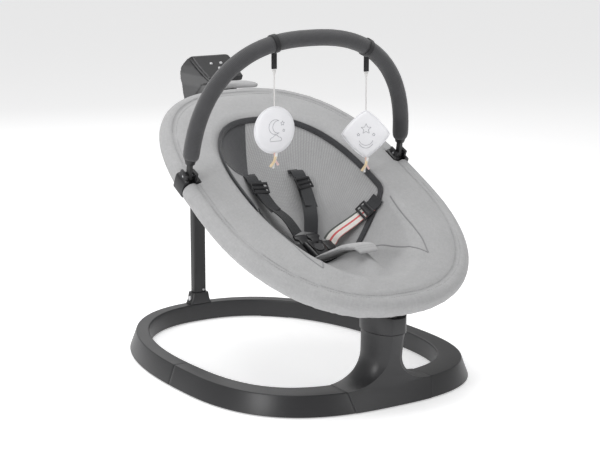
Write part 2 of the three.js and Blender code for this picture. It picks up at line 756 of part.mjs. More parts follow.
const headFront = [...frontOutline, ...frontOutline.map(([x, z]) => [-x, z]).reverse()];
const alongX = (outline, half) =>
  loft([outline.map((q) => V(-half, q.x, q.y)), outline.map((q) => V(half, q.x, q.y))]);
const headWedge = common(
  alongX(sideOutline, HEAD_HALF_WIDTH + 5),
  loft([headFront.map(([x, z]) => V(x, 150, z)), headFront.map(([x, z]) => V(x, 400, z))]),
);
const slope = RIDGE.clone().sub(LIP).normalize();
const below = new THREE.Vector2(slope.y, -slope.x);
const topSheet = (top, bottom) => {
  const at = (base, drop, run) => base.clone().addScaledVector(below, drop).addScaledVector(slope, run);
  return alongX([at(LIP, bottom, -40), at(RIDGE, bottom, 2), at(RIDGE, top, 2), at(LIP, top, -40)], 60);
};
add("post_head_cover", common(headWedge, topSheet(-30, HEAD_COVER_THICKNESS)), "shell");
const postRoom = loft([
  postSection(POST_X + 2 * GAP, POST_DEPTH + 2 * GAP, POST_TOP - 40),
  postSection(POST_X + 2 * GAP, POST_DEPTH + 2 * GAP, POST_TOP + GAP),
]);
const HANGER_ROOM_BACK = 12;
const hangerRoom = bar(
  onAxis(REAR_PIVOT, -80),
  onAxis(REAR_PIVOT, HANGER_ROOM_BACK),
  roundedRect(56, 40, 4),
);
const rearBushFrom = onAxis(REAR_PIVOT, HANGER_ROOM_BACK + GAP);
const rearBushTo = onAxis(REAR_PIVOT, HANGER_ROOM_BACK + 22);
const bushRoom = rod(onAxis(REAR_PIVOT, 0), onAxis(REAR_PIVOT, 46), BUSH_RADIUS + GAP);
const coverRoom = topSheet(-30, HEAD_COVER_THICKNESS + GAP);
add("post_head", cut(headWedge, coverRoom, postRoom, hangerRoom, bushRoom), "shell");
add("rear_bush", ringRod(rearBushFrom, rearBushTo, BUSH_RADIUS, SHAFT_RADIUS + SHAFT_CLEARANCE), "bush");

// ---------------------------------------------------------------- seat cover
// One skin that wraps the hoop, forms the rim and sinks into the bucket.
// It is open underneath along the hoop.
const COVER_ANGLES = 44;
function coverProfile(angle) {
  const outer = outlineRay(hoopShape(0), angle, 0);
  const inner = outlineRay(pipingShape, angle, PIPING_MID);
  const rim = inner.clone().sub(outer);
  const rimLength = rim.length();
  const inward = rim.clone().normalize();
  const at = (run, h) => {
    const p = outer.clone().addScaledVector(inward, run);
    return V(p.x, p.y, h);
  };
  const bucket = (v) => bucketPoint(angle, v);
  const under = -RIM_UNDER;
  return [
    at(44, under + 4),
    at(20, under),
    at(4, under + 12),
    at(0, -3),
    at(4, 8),
    at(14, RIM_TOP),
    at(rimLength * 0.55, RIM_TOP + 1),
    at(rimLength * 0.95, PIPING_HEIGHT),
    bucket(0.07),
    bucket(0.2),
    bucket(0.38),
    bucket(0.6),
    bucket(0.82),
  ];
}

// Offsets a run of (x, s, h) points to its underside.
const BUCKET_OUT = V(0, PIPING_MID - 20, 0);
function underside(profile, thickness) {
  return profile.map((p, i) => {
    const before = profile[Math.max(0, i - 1)];
    const after = profile[Math.min(profile.length - 1, i + 1)];
    const along = after.clone().sub(before);
    const inward = V(BUCKET_OUT.x - p.x, BUCKET_OUT.y - p.y, 0).normalize();
    const run = along.dot(inward);
    const normal = inward.multiplyScalar(along.z).add(V(0, 0, -run)).normalize();
    return p.clone().addScaledVector(normal, thickness);
  });
}

const coverRows = Array.from({ length: COVER_ANGLES }, (_, k) => {
  const upper = coverProfile(-Math.PI / 2 + (2 * Math.PI * (k + 0.5)) / COVER_ANGLES);
  return { upper, lower: underside(upper, COVER_THICKNESS) };
});

// Closes a bowl-like double skin: rows run from the free edge to the centre.
function doubleSkin(rows) {
  const count = rows[0].upper.length;
  const positions = [];
  const push = (p) => {
    const q = seatPoint(p.x, p.y, p.z);
    positions.push(q.x, q.y, q.z);
  };
  for (const { upper, lower } of rows) {
    upper.forEach(push);
    lower.forEach(push);
  }
  const centre = bucketPoint(0, 1);
  push(centre);
  push(centre.clone().add(V(0, 0, -COVER_THICKNESS)));
  const index = [];
  const stride = 2 * count;
  const quad = (a, b, c, d) => index.push(a, b, c, a, c, d);
  const top = rows.length * stride;
  for (let k = 0; k < rows.length; k++) {
    const a = k * stride;
    const b = ((k + 1) % rows.length) * stride;
    for (let i = 0; i < count - 1; i++) {
      quad(a + i, b + i, b + i + 1, a + i + 1);
      quad(a + count + i + 1, b + count + i + 1, b + count + i, a + count + i);
    }
    quad(a + count, b + count, b, a);
    index.push(a + count - 1, b + count - 1, top);
    index.push(b + stride - 1, a + stride - 1, top + 1);
  }
  const geometry = new THREE.BufferGeometry();
  geometry.setAttribute("position", new THREE.Float32BufferAttribute(positions, 3));
  geometry.setIndex(index);
  return facingOut(geometry);
}

const CLAMP_X = BAR_HALF_WIDTH;
const clampAt = (sign) => seatPoint(sign * CLAMP_X, BAR_S, 0);
const clampRoom = (sign) => bar(
  seatPoint(sign * CLAMP_X, BAR_S - 18, 0),
  seatPoint(sign * CLAMP_X, BAR_S + 18, 0),
  roundedRect(56, 84, 4),
  NORMAL,
);
const cradleClear = bar(
  seatPoint(0, -HOOP_FRONT + 4, -26),
  seatPoint(0, -150, -30),
  roundedRect(52, 36, 4),
  NORMAL,
);
const neckClear = bar(FRONT_PIVOT.clone(), neckTop, roundedRect(26, 34, 4), V(1, 0, 0));
const hangerClear = bar(
  seatPoint(0, HOOP_REAR - 34, -12),
  seatPoint(0, HOOP_REAR + 20, -12),
  roundedRect(44, 40, 4),
  NORMAL,
);
const skin = doubleSkin(coverRows);
add("seat_cover", cut(skin, clampRoom(1), clampRoom(-1), cradleClear, neckClear, hangerClear), "fabric");

const PIPING_STEPS = 60;
const pipingLine = eggOutline(pipingShape, PIPING_STEPS);
const pipingSections = pipingLine.map((p, i) => {
  const next = pipingLine[(i + 1) % PIPING_STEPS];
  const last = pipingLine[(i + PIPING_STEPS - 1) % PIPING_STEPS];
  const t = next.clone().sub(last).normalize();
  return circle(PIPING_RADIUS, 5).map((q) => {
    return seatPoint(
      p.x + t.y * q.x,
      p.y + PIPING_MID - t.x * q.x,
      q.y + PIPING_HEIGHT + PIPING_RADIUS + 4.5,
    );
  });
});
add("seat_piping", loft(pipingSections, { loop: true }), "piping");

// Padded flap over the hanger at the head end.
const TAB_HALF = 57;
const TAB_HEIGHT = 14.5;
const tabSections = [-1, -0.8, -0.4, 0, 0.4, 0.8, 1].map((f) => {
  const edge = outlineRay(hoopShape(0), Math.acos(Math.min(0.999, (f * TAB_HALF) / HOOP_HALF_WIDTH)), 0);
  const shrink = Math.abs(f) > 0.9 ? 0.55 : 1;
  return roundedRect(20, 7, 3, 1).map(
    (q) => seatPoint(f * TAB_HALF, edge.y + 3 + q.x * shrink, TAB_HEIGHT + q.y),
  );
});
add("head_tab", loft(tabSections), "fabric");

// ---------------------------------------------------------------- harness
// A flat strap that follows seat-plane places (x, s, lift) at a height above the bucket.
function strap(places, width = WEB_WIDTH, thickness = WEB_THICKNESS) {
  const points = places.map(([x, s, h]) => seatPoint(x, s, h));
  const curve = new THREE.CatmullRomCurve3(points, false, "centripetal");
  const STEPS = 18;
  const sections = [];
  for (let i = 0; i <= STEPS; i++) {
    const p = curve.getPointAt(i / STEPS);
    const t = curve.getTangentAt(i / STEPS);
    const side = t.clone().cross(NORMAL).normalize();
    const up = side.clone().cross(t);
    const corner = (a, b) => p.clone().addScaledVector(side, (a * width) / 2).addScaledVector(
      up,
      (b * thickness) / 2,
    );
    sections.push([corner(1, 1), corner(-1, 1), corner(-1, -1), corner(1, -1)]);
  }
  return loft(sections);
}
const over = (x, s, lift) => [x, s, bucketHeight(x, s) + lift];

const BUCKLE_S = -34;
const BUCKLE_LIFT = 22;
const buckleH = bucketHeight(0, BUCKLE_S) + BUCKLE_LIFT;
const buckleAt = (x, s, h) => seatPoint(x, BUCKLE_S + s, buckleH + h);
const buckleShell = bar(buckleAt(0, -24, 0), buckleAt(0, 24, 0), roundedRect(46, 15, 5), NORMAL);
const buttonWell = rod(buckleAt(0, 0, -1), buckleAt(0, 0, 20), 10);
const tongueRoom = (sign) => bar(
  buckleAt(sign * 12, 14, -1),
  buckleAt(sign * 12, 40, -1),
  roundedRect(17, 5, 1),
  NORMAL,
);
add("buckle_body", cut(buckleShell, buttonWell, tongueRoom(1), tongueRoom(-1)), "buckle");
add("buckle_button", rod(buckleAt(0, 0, 1.8), buckleAt(0, 0, 9), 10 - GAP), "shellTop");
for (const [side, sign] of [["left", 1], ["right", -1]]) {
  const tongue = bar(
    buckleAt(sign * 12, 15, -1),
    buckleAt(sign * 12, 46, -1),
    roundedRect(16, 4, 1),
    NORMAL,
  );
  add(`buckle_tongue_${side}`, tongue, "buckle");
  const head = over(sign * 50, 150, 8);
  const chest = over(sign * 44, 92, 18);
  const belly = over(sign * 26, 44, 30);
  add(
    `shoulder_strap_${side}`,
    strap([head, chest, belly, [sign * 14, BUCKLE_S + 49, buckleH + 1]]),
    "webbing",
  );
  const waist = [over(sign * 112, -6, 9), over(sign * 84, -4, 14), over(sign * 50, -8, 20)];
  add(
    `waist_strap_${side}`,
    strap([...waist, [sign * 37, BUCKLE_S + 20, buckleH - 1]]),
    side === "left" ? "webbingWhite" : "webbing",
  );
}
// Ladder sliders that shorten the straps: a plate with two slots, standing just clear of its strap.
function slider(place, turn) {
  const [x, s, h] = place;
  const origin = seatPoint(x, s, h);
  const across = V(Math.cos(turn), 0, 0).addScaledVector(ALONG, Math.sin(turn));
  const end = (sign) => origin.clone().addScaledVector(across, (sign * (WEB_WIDTH + 7)) / 2);
  return bar(end(-1), end(1), roundedRect(22, 3.4, 1.2, 2), NORMAL);
}
const SLIDER_LIFT = 4.2;
const WAIST_LIFT = 16;
add("shoulder_adjuster_left", slider(over(46, 112, 14 + SLIDER_LIFT + 4), 0), "buckle");
add("shoulder_adjuster_right", slider(over(-46, 112, 14 + SLIDER_LIFT + 4), 0), "buckle");
add("waist_adjuster_left", slider(over(104, -5, 11 + WAIST_LIFT), Math.PI / 2), "buckle");
add("waist_adjuster_right", slider(over(-104, -5, 11 + WAIST_LIFT), Math.PI / 2), "buckle");
const padRow = (s, half, lift, thickness) => {
  const rowH = bucketHeight(0, s) + lift;
  return roundedRect(2 * half, thickness, thickness / 2.2, 2).map((q) => seatPoint(q.x, s, rowH + q.y));
};
add(
  "crotch_pad",
  loft([
    padRow(-160, 20, 9, 7),
    padRow(-140, 24, 10, 9),
    padRow(-116, 30, 12, 10),
    padRow(-92, 38, 16, 10),
    padRow(-68, 44, 16, 8),
  ]),
  "fabric",
);

// ---------------------------------------------------------------- toy bar
const barUp = V(0, -Math.sin(BAR_LEAN), Math.cos(BAR_LEAN));
const barBase = seatPoint(0, BAR_S, BAR_FOOT);
function barPoint(angle, rise = 0) {
  const bend = (value) => Math.sign(value) * Math.abs(value) ** (2 / BAR_POWER);
  const x = (BAR_HALF_WIDTH + rise) * bend(Math.cos(angle));
  const z = (BAR_RISE + rise) * bend(Math.sin(angle));
  return barBase.clone().add(V(x, 0, 0)).addScaledVector(barUp, z);
}
const BAR_POINTS = 24;
const SLEEVE_START = 26; // the foam ends this far up the leg, clear of the clamp's ears when tilted
const ROD_END = 8; // the rod runs this far below the arch's feet
const PIVOT_DROP = 2;
const PIN_RADIUS = 2.2;
const EAR_ABOVE_PIVOT = 6;
const EAR_SPAN = 26;
const legPoint = (sign, up) => barBase.clone().add(V(sign * BAR_HALF_WIDTH, 0, 0)).addScaledVector(
  barUp,
  up,
);
const archRun = Array.from({ length: BAR_POINTS + 1 }, (_, i) => barPoint((Math.PI * i) / BAR_POINTS));
const crown = archRun.filter((p) => p.clone().sub(barBase).dot(barUp) > SLEEVE_START + 20);
const sleeveLine = [legPoint(1, SLEEVE_START), ...crown, legPoint(-1, SLEEVE_START)];
const rodLine = [legPoint(1, -ROD_END), ...sleeveLine, legPoint(-1, -ROD_END)];
add("toy_bar_sleeve", tubeAlong(sleeveLine, BAR_RADIUS, 10, 34, ROD_RADIUS + 1), "sleeve");
const barPivot = (sign, across = 0) => legPoint(sign, -PIVOT_DROP).add(V(across, 0, 0));
const pinRoom = (sign) => rod(barPivot(sign, -40), barPivot(sign, 40), PIN_RADIUS + GAP, 10);
add("toy_bar_rod", cut(tubeAlong(rodLine, ROD_RADIUS, 6, 36), pinRoom(1), pinRoom(-1)), "steel");

for (const [side, sign] of [["left", 1], ["right", -1]]) {
  const alongHoop = (s) => seatPoint(sign * CLAMP_X, BAR_S + s, 0);
  const saddle = bar(
    alongHoop(-CLAMP_WIDTH / 2),
    alongHoop(CLAMP_WIDTH / 2),
    roundedRect(32, 32, 6),
    NORMAL,
  );
  const earTop = barPivot(sign).addScaledVector(barUp, EAR_ABOVE_PIVOT);
  const ears = bar(clampAt(sign), earTop, roundedRect(CLAMP_WIDTH - 8, EAR_SPAN, 4), V(1, 0, 0));
  const slotFloor = barPivot(sign).addScaledVector(barUp, -ROD_END - 3);
  const slotTop = barPivot(sign).addScaledVector(barUp, 30);
  const slot = bar(slotFloor, slotTop, roundedRect(70, 2 * ROD_RADIUS + 2, 1), V(1, 0, 0));
  add(`toy_bar_clamp_${side}`, cut(join(saddle, ears), hoopRoom, slot, pinRoom(sign)), "buckle");
  add(
    `toy_bar_pin_${side}`,
    rod(barPivot(sign, -EAR_SPAN / 2), barPivot(sign, EAR_SPAN / 2), PIN_RADIUS, 10),
    "steel",
  );
}

// ---------------------------------------------------------------- toys
const TOY_LOOP_LENGTH = 22;
const LOOP_CLEARANCE = 4.3;
const CORD_CLEARANCE = 0.9; // lets the cord tip sideways under its loop
const CORD_RADIUS = 1.2;
const CORD_RIGHT = 63;
const CORD_LEFT = 67;
const TOY_THICKNESS = 14;
const DISC_RADIUS = 40.5;
const DIAMOND_HALF = 43;
const DIAMOND_POWER = 1.2; // 1 would be a sharp square on its corner; 2 a circle
const DIAMOND_TURN = THREE.MathUtils.degToRad(-30); // it hangs turned towards the right
const TOY_SIDES = 28;
const discOutline = (radius, count) => circle(radius, count);
function diamondOutline(half, count) {
  return Array.from({ length: count }, (_, i) => {
    const a = (2 * Math.PI * i) / count;
    const sum = Math.abs(Math.cos(a)) ** DIAMOND_POWER + Math.abs(Math.sin(a)) ** DIAMOND_POWER;
    const r = half / sum ** (1 / DIAMOND_POWER);
    return new THREE.Vector2(r * Math.cos(a), r * Math.sin(a));
  });
}
function cushion(outline, centre, turn) {
  const across = V(Math.cos(turn), Math.sin(turn), 0);
  const through = V(-Math.sin(turn), Math.cos(turn), 0);
  const layer = (scale, depth) => outline.map((q) =>
    centre.clone().addScaledVector(across, q.x * scale).addScaledVector(through, depth)
      .add(V(0, 0, q.y * scale)),
  );
  const half = TOY_THICKNESS / 2;
  return loft(
    [layer(0.6, -half), layer(0.86, -half * 0.75), layer(1, 0), layer(0.86, half * 0.75), layer(0.6, half)],
  );
}
const toys = [
  {
    side: "right",
    name: "round_toy",
    angle: 0.582 * Math.PI,
    cord: CORD_RIGHT,
    outline: discOutline(DISC_RADIUS, TOY_SIDES),
    top: DISC_RADIUS,
    turn: 0,
  },
  {
    side: "left",
    name: "diamond_toy",
    angle: 0.338 * Math.PI,
    cord: CORD_LEFT,
    outline: diamondOutline(DIAMOND_HALF, TOY_SIDES),
    top: DIAMOND_HALF,
    turn: DIAMOND_TURN,
  },
];
for (const toy of toys) {
  const hold = barPoint(toy.angle);
  const next = barPoint(toy.angle + 0.01);
  const tangent = next.clone().sub(hold).normalize();
  const half = 5;
  const inner = BAR_RADIUS + LOOP_CLEARANCE;
  const outer = inner + 1.8;
  const loop = ringRod(
    hold.clone().addScaledVector(tangent, -half),
    hold.clone().addScaledVector(tangent, half),
    outer,
    inner,
    20,
  );
  const tabTop = V(hold.x, hold.y, hold.z - inner - 1);
  const tabEnd = V(hold.x, hold.y, hold.z - outer - TOY_LOOP_LENGTH);
  const tab = bar(tabTop, tabEnd, roundedRect(2 * half, 3, 1), V(0, 1, 0));
  add(`toy_loop_${toy.side}`, join(loop, tab), "buckle");
  const cordTop = V(hold.x, hold.y, tabEnd.z - CORD_CLEARANCE);
  const cordEnd = V(hold.x, hold.y, tabEnd.z - toy.cord);
  add(`toy_cord_${toy.side}`, rod(cordTop, cordEnd, CORD_RADIUS, 8), "toy");
  const centre = V(hold.x, hold.y, cordEnd.z - GAP - toy.top);
  add(toy.name, cushion(toy.outline, centre, toy.turn), "toy");
}

export default swing;
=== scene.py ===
import json
import math
from contextlib import contextmanager

import bmesh
import bpy
from mathutils import Matrix, Vector, noise
from mathutils.bvhtree import BVHTree

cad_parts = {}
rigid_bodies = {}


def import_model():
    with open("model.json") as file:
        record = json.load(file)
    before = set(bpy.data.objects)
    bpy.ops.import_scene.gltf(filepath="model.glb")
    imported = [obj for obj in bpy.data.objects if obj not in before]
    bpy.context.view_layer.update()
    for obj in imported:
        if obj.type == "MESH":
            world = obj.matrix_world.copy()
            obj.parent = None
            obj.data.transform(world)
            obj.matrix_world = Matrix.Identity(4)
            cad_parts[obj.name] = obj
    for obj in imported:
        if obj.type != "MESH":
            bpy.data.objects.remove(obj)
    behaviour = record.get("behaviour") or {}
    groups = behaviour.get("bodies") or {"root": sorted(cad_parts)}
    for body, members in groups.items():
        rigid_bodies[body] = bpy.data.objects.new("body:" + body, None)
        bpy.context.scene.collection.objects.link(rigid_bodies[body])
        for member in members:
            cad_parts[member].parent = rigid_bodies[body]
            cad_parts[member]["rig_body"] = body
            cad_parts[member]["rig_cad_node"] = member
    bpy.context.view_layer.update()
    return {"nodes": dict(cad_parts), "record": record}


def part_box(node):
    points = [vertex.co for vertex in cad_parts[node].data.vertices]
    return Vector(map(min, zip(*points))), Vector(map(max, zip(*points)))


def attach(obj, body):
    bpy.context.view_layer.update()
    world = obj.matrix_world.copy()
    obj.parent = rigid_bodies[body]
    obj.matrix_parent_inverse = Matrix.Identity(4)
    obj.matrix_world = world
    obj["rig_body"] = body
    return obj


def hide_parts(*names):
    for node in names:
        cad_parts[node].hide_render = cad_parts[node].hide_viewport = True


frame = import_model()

# A baby swing: a ring base with a front column and a rear post that carry an oval hammock seat.
# Metres, +Z up, -Y is the foot end and +X is the sitter's left.

# ---------------------------------------------------------------- driving sizes
WALL = 0.003
RING_LIFT = 0.0015
RING_HEIGHT = 0.035
RING_DRAFT = 0.0125  # how far the outer wall leans in
BAND_REAR = 0.0233
BAND_FRONT = 0.0506
BAND_POWER = 2.9
RING_STEPS = 720
PEDESTAL_HALF = 0.086
RAIL_END_Y = -0.016
SEAM = 0.0003

COLUMN_Y = -0.282
COLUMN_TOP = 0.123
COLUMN_HALF_X = 0.030
COLUMN_HALF_Y = 0.043
STRIP_HALF = 0.009  # the front skin's narrow end on the column
FLARE_TOP = 0.087
COLLAR_BOTTOM = 0.1246
COLLAR_FRONT_TOP = 0.152
COLLAR_SLOPE = 0.508

HOOP_TILT = math.radians(26.9)
HOOP_CENTRE = Vector((0, -0.0945, 0.3074))
TUBE_RADIUS = 0.009
TUBE_INSET = 0.017
PIPING_HEIGHT = 0.010
PIPING_FOOT = -0.225
BUCKET_S = -0.030
BUCKET_DEPTH = 0.104
SIDE_FALL = 2.1
FOOT_FALL = 1.3
RIDGE_HEIGHT = 0.002
RIDGE_WIDTH = 0.034
RIDGE_FROM = 0.060
RIDGE_TO = 0.150

BAR_S = 0.088
BAR_HALF_WIDTH = 0.217
BAR_RISE = 0.223
BAR_POWER = 2.45
BAR_FOOT = 0.020
BAR_LEAN = math.radians(9.5)
BAR_RADIUS = 0.0145
SLEEVE_START = 0.026

WEB_WIDTH = 0.025
WEB_THICKNESS = 0.0018
BUCKLE_S = -0.034
BUCKLE_LIFT = 0.022

LOOP_CLEARANCE = 0.0043
LOOP_THICKNESS = 0.0018
TOY_LOOP_LENGTH = 0.022
CORD_CLEARANCE = 0.0009
CORD_LENGTHS = {"right": 0.0621, "left": 0.0661}
CORD_RADIUS = 0.0012
TOY_ANGLES = {"right": 0.582 * math.pi, "left": 0.338 * math.pi}

# ---------------------------------------------------------------- curves and outlines
SEAT = Matrix.Translation(HOOP_CENTRE) @ Matrix.Rotation(HOOP_TILT, 4, "X")
BAR_UP = Vector((0, -math.sin(BAR_LEAN), math.cos(BAR_LEAN)))


def seat_point(x, s, h):
    """A place in the seat's own axes: x across, s towards the head, h away from the seat's plane."""
    return SEAT @ Vector((x, s, h))


def bend(value, power):
    return math.copysign(abs(value) ** (2 / power), value)


def smooth_step(low, high, value):
    t = min(1, max(0, (value - low) / (high - low)))
    return t * t * (3 - 2 * t)


class Egg:
    """A closed outline: one superellipse in front of its widest place and another behind it."""

    def __init__(self, half_width, front, rear, front_power, rear_power, mid=0.0):
        self.half_width, self.mid = half_width, mid
        self.front, self.rear = front, rear
        self.front_power, self.rear_power = front_power, rear_power

    def at(self, angle):
        c, s = math.cos(angle), math.sin(angle)
        power, half = (self.front_power, self.front) if s < 0 else (self.rear_power, self.rear)
        return Vector((self.half_width * bend(c, power), self.mid + half * bend(s, power)))

    def even(self, count, fine=1440):
        """Evenly spaced points, from the front towards +X."""
        start = -math.pi / 2
        return evenly([self.at(start + 2 * math.pi * i / fine) for i in range(fine)], count)

    def holds(self, x, s):
        s -= self.mid
        power, half = (self.front_power, self.front) if s < 0 else (self.rear_power, self.rear)
        return abs(x / self.half_width) ** power + abs(s / half) ** power < 1


def evenly(points, count, closed=True, riders=None):
    """The same line with count points at equal steps, or the riders' values at those places."""
    ends = points[1:] + points[:1] if closed else points[1:]
    values = riders or points
    value_ends = values[1:] + values[:1] if closed else values[1:]
    lengths = [0.0]
    for a, b in zip(points, ends):
        lengths.append(lengths[-1] + (b - a).length)
    result, k = [], 0
    for i in range(count):
        target = lengths[-1] * i / (count if closed else count - 1)
        while k < len(ends) - 1 and lengths[k + 1] < target:
            k += 1
        t = (target - lengths[k]) / max(lengths[k + 1] - lengths[k], 1e-9)
        result.append(values[k].lerp(value_ends[k], t))
    return result


def spline(points, count, closed=False):
    """A smooth curve through the points, with count points at equal steps."""
    fine, steps, last = [], 12, len(points) - 1
    reach = (lambda i: points[i % len(points)]) if closed else (lambda i: points[min(max(i, 0), last)])
    for i in range(len(points) if closed else last):
        p0, p1, p2, p3 = (reach(i + k) for k in (-1, 0, 1, 2))
        for step in range(steps):
            t = step / steps
            fine.append(0.5 * (2 * p1 + (p2 - p0) * t + (2 * p0 - 5 * p1 + 4 * p2 - p3) * t**2
                               + (3 * p1 - p0 - 3 * p2 + p3) * t**3))
    if not closed:
        fine.append(points[-1].copy())
    return evenly(fine, count, closed)


def rounded(corners, steps=4):
    """A polygon of (x, y, setback) with each corner turned into a curve."""
    points = []
    for i, (x, y, setback) in enumerate(corners):
        here = Vector((x, y))
        if setback == 0:
            points.append(here)
            continue
        before, after = Vector(corners[i - 1][:2]), Vector(corners[(i + 1) % len(corners)][:2])
        a = here + (before - here).normalized() * setback
        b = here + (after - here).normalized() * setback
        for k in range(steps + 1):
            t = k / steps
            points.append(a * (1 - t) ** 2 + here * 2 * t * (1 - t) + b * t**2)
    return points


def oval(half_width, half_height, sides, power=2.0):
    """A closed section with round or squarish ends."""
    angles = [2 * math.pi * i / sides for i in range(sides)]
    return [Vector((half_width * bend(math.cos(a), power), half_height * bend(math.sin(a), power)))
            for a in angles]


RING = Egg(0.258, 0.280, 0.398, 2.75, 2.3, mid=-0.041)
HOOP = Egg(0.234, 0.294, 0.342, 2.28, 2.65)
PIPING = Egg(0.138, 0.249, 0.225, 2.0, 2.5, mid=0.024)

RING_LINE = RING.even(RING_STEPS)
RING_STEP = (RING_LINE[1] - RING_LINE[0]).length
PEDESTAL_END = next(k for k, p in enumerate(RING_LINE) if p.x > PEDESTAL_HALF)
RAIL_END = next(k for k, p in enumerate(RING_LINE) if p.y > RAIL_END_Y)


def ring_sample(position):
    """The ring's outer bottom edge at a place along it: point, inward direction and band width."""
    i = math.floor(position)
    point = RING_LINE[i % RING_STEPS].lerp(RING_LINE[(i + 1) % RING_STEPS], position - i)
    tangent = (RING_LINE[(i + 4) % RING_STEPS] - RING_LINE[(i - 3) % RING_STEPS]).normalized()
    t = (RING.rear + RING.mid - point.y) / (RING.rear + RING.front)
    band = BAND_REAR + (BAND_FRONT - BAND_REAR) * max(0, t) ** BAND_POWER
    return point, Vector((-tangent.y, tangent.x)), band


def ring_point(position, inset, z):
    point, inward, _ = ring_sample(position)
    return Vector((point.x + inward.x * inset, point.y + inward.y * inset, z))


def sink_at(x, s, v, edge_s):
    """Height of the bucket: v runs from 0 at the piping to 1 at its lowest place."""
    footward = smooth_step(0, 1, (BUCKET_S - edge_s) / (BUCKET_S - PIPING_FOOT))
    power = SIDE_FALL + (FOOT_FALL - SIDE_FALL) * footward
    h = PIPING_HEIGHT - (PIPING_HEIGHT + BUCKET_DEPTH) * (1 - max(0, 1 - v) ** power)
    ridge = math.exp(-((x / RIDGE_WIDTH) ** 2)) * smooth_step(RIDGE_FROM, RIDGE_TO, -s)
    return h + (max(h, RIDGE_HEIGHT) - h) * ridge


def bucket_point(angle, v):
    edge = PIPING.at(angle)
    x, s = edge.x * (1 - v), edge.y + (BUCKET_S - edge.y) * v
    return Vector((x, s, sink_at(x, s, v, edge.y)))


def bucket_height(x, s):
    """Height of the seat's upper face over a place inside the piping oval."""
    low, high, edge_s = 0.0, 1.0, s
    for _ in range(30):
        v = (low + high) / 2
        edge_s = (s - BUCKET_S * v) / (1 - v)
        if PIPING.holds(x / (1 - v), edge_s):
            low = v
        else:
            high = v
    return sink_at(x, s, low, edge_s)


def bucket_normal(angle, v):
    """The direction away from the seat's surface, towards the sitter."""
    across = bucket_point(angle + 0.01, v) - bucket_point(angle - 0.01, v)
    down = bucket_point(angle, v + 0.01) - bucket_point(angle, max(0, v - 0.01))
    normal = across.cross(down).normalized()
    return normal if normal.z > 0 else -normal


BAR_BASE = seat_point(0, BAR_S, BAR_FOOT)


def bar_point(angle):
    x = BAR_HALF_WIDTH * bend(math.cos(angle), BAR_POWER)
    return BAR_BASE + Vector((x, 0, 0)) + BAR_UP * (BAR_RISE * bend(math.sin(angle), BAR_POWER))


def leg_point(sign, up):
    return BAR_BASE + Vector((sign * BAR_HALF_WIDTH, 0, 0)) + BAR_UP * up


# ---------------------------------------------------------------- camera
VIEW_AZIMUTH = math.radians(-33)
VIEW_ELEVATION = math.radians(11.97)
VIEW_TARGET = Vector((0.0141, -0.0096, 0.250))
VIEW_DISTANCE = 3.0
LENS = 101.7
SENSOR = 36


def make_camera():
    data = bpy.data.cameras.new("camera")
    data.lens, data.sensor_width = LENS, SENSOR
    camera = bpy.data.objects.new("camera", data)
    bpy.context.scene.collection.objects.link(camera)
    level = math.cos(VIEW_ELEVATION)
    back = Vector((math.sin(VIEW_AZIMUTH) * level, -math.cos(VIEW_AZIMUTH) * level, math.sin(VIEW_ELEVATION)))
    camera.location = VIEW_TARGET + back * VIEW_DISTANCE
    camera.rotation_mode = "QUATERNION"
    camera.rotation_quaternion = back.to_track_quat("Z", "Y")
    bpy.context.scene.camera = camera


make_camera()


# ---------------------------------------------------------------- shader kit
class Socket:
    """A shader value that takes Python arithmetic: each operator adds its Math node."""

    def __init__(self, finish, link):
        self.finish, self.link = finish, link

    def math(self, operation, *others):
        return self.finish.node("Math", {"operation": operation}, dict(enumerate((self, *others))))

    def __add__(self, other):
        return self.math("ADD", other)

    def __sub__(self, other):
        return self.math("SUBTRACT", other)

    def __rsub__(self, other):
        return self.math("MULTIPLY_ADD", -1.0, other)

    def __mul__(self, other):
        return self.math("MULTIPLY", other)

    def __truediv__(self, other):
        return self.math("DIVIDE", other)

    def __gt__(self, other):
        return self.math("GREATER_THAN", other)

    def __lt__(self, other):
        return self.math("LESS_THAN", other)

    __radd__, __rmul__ = __add__, __mul__


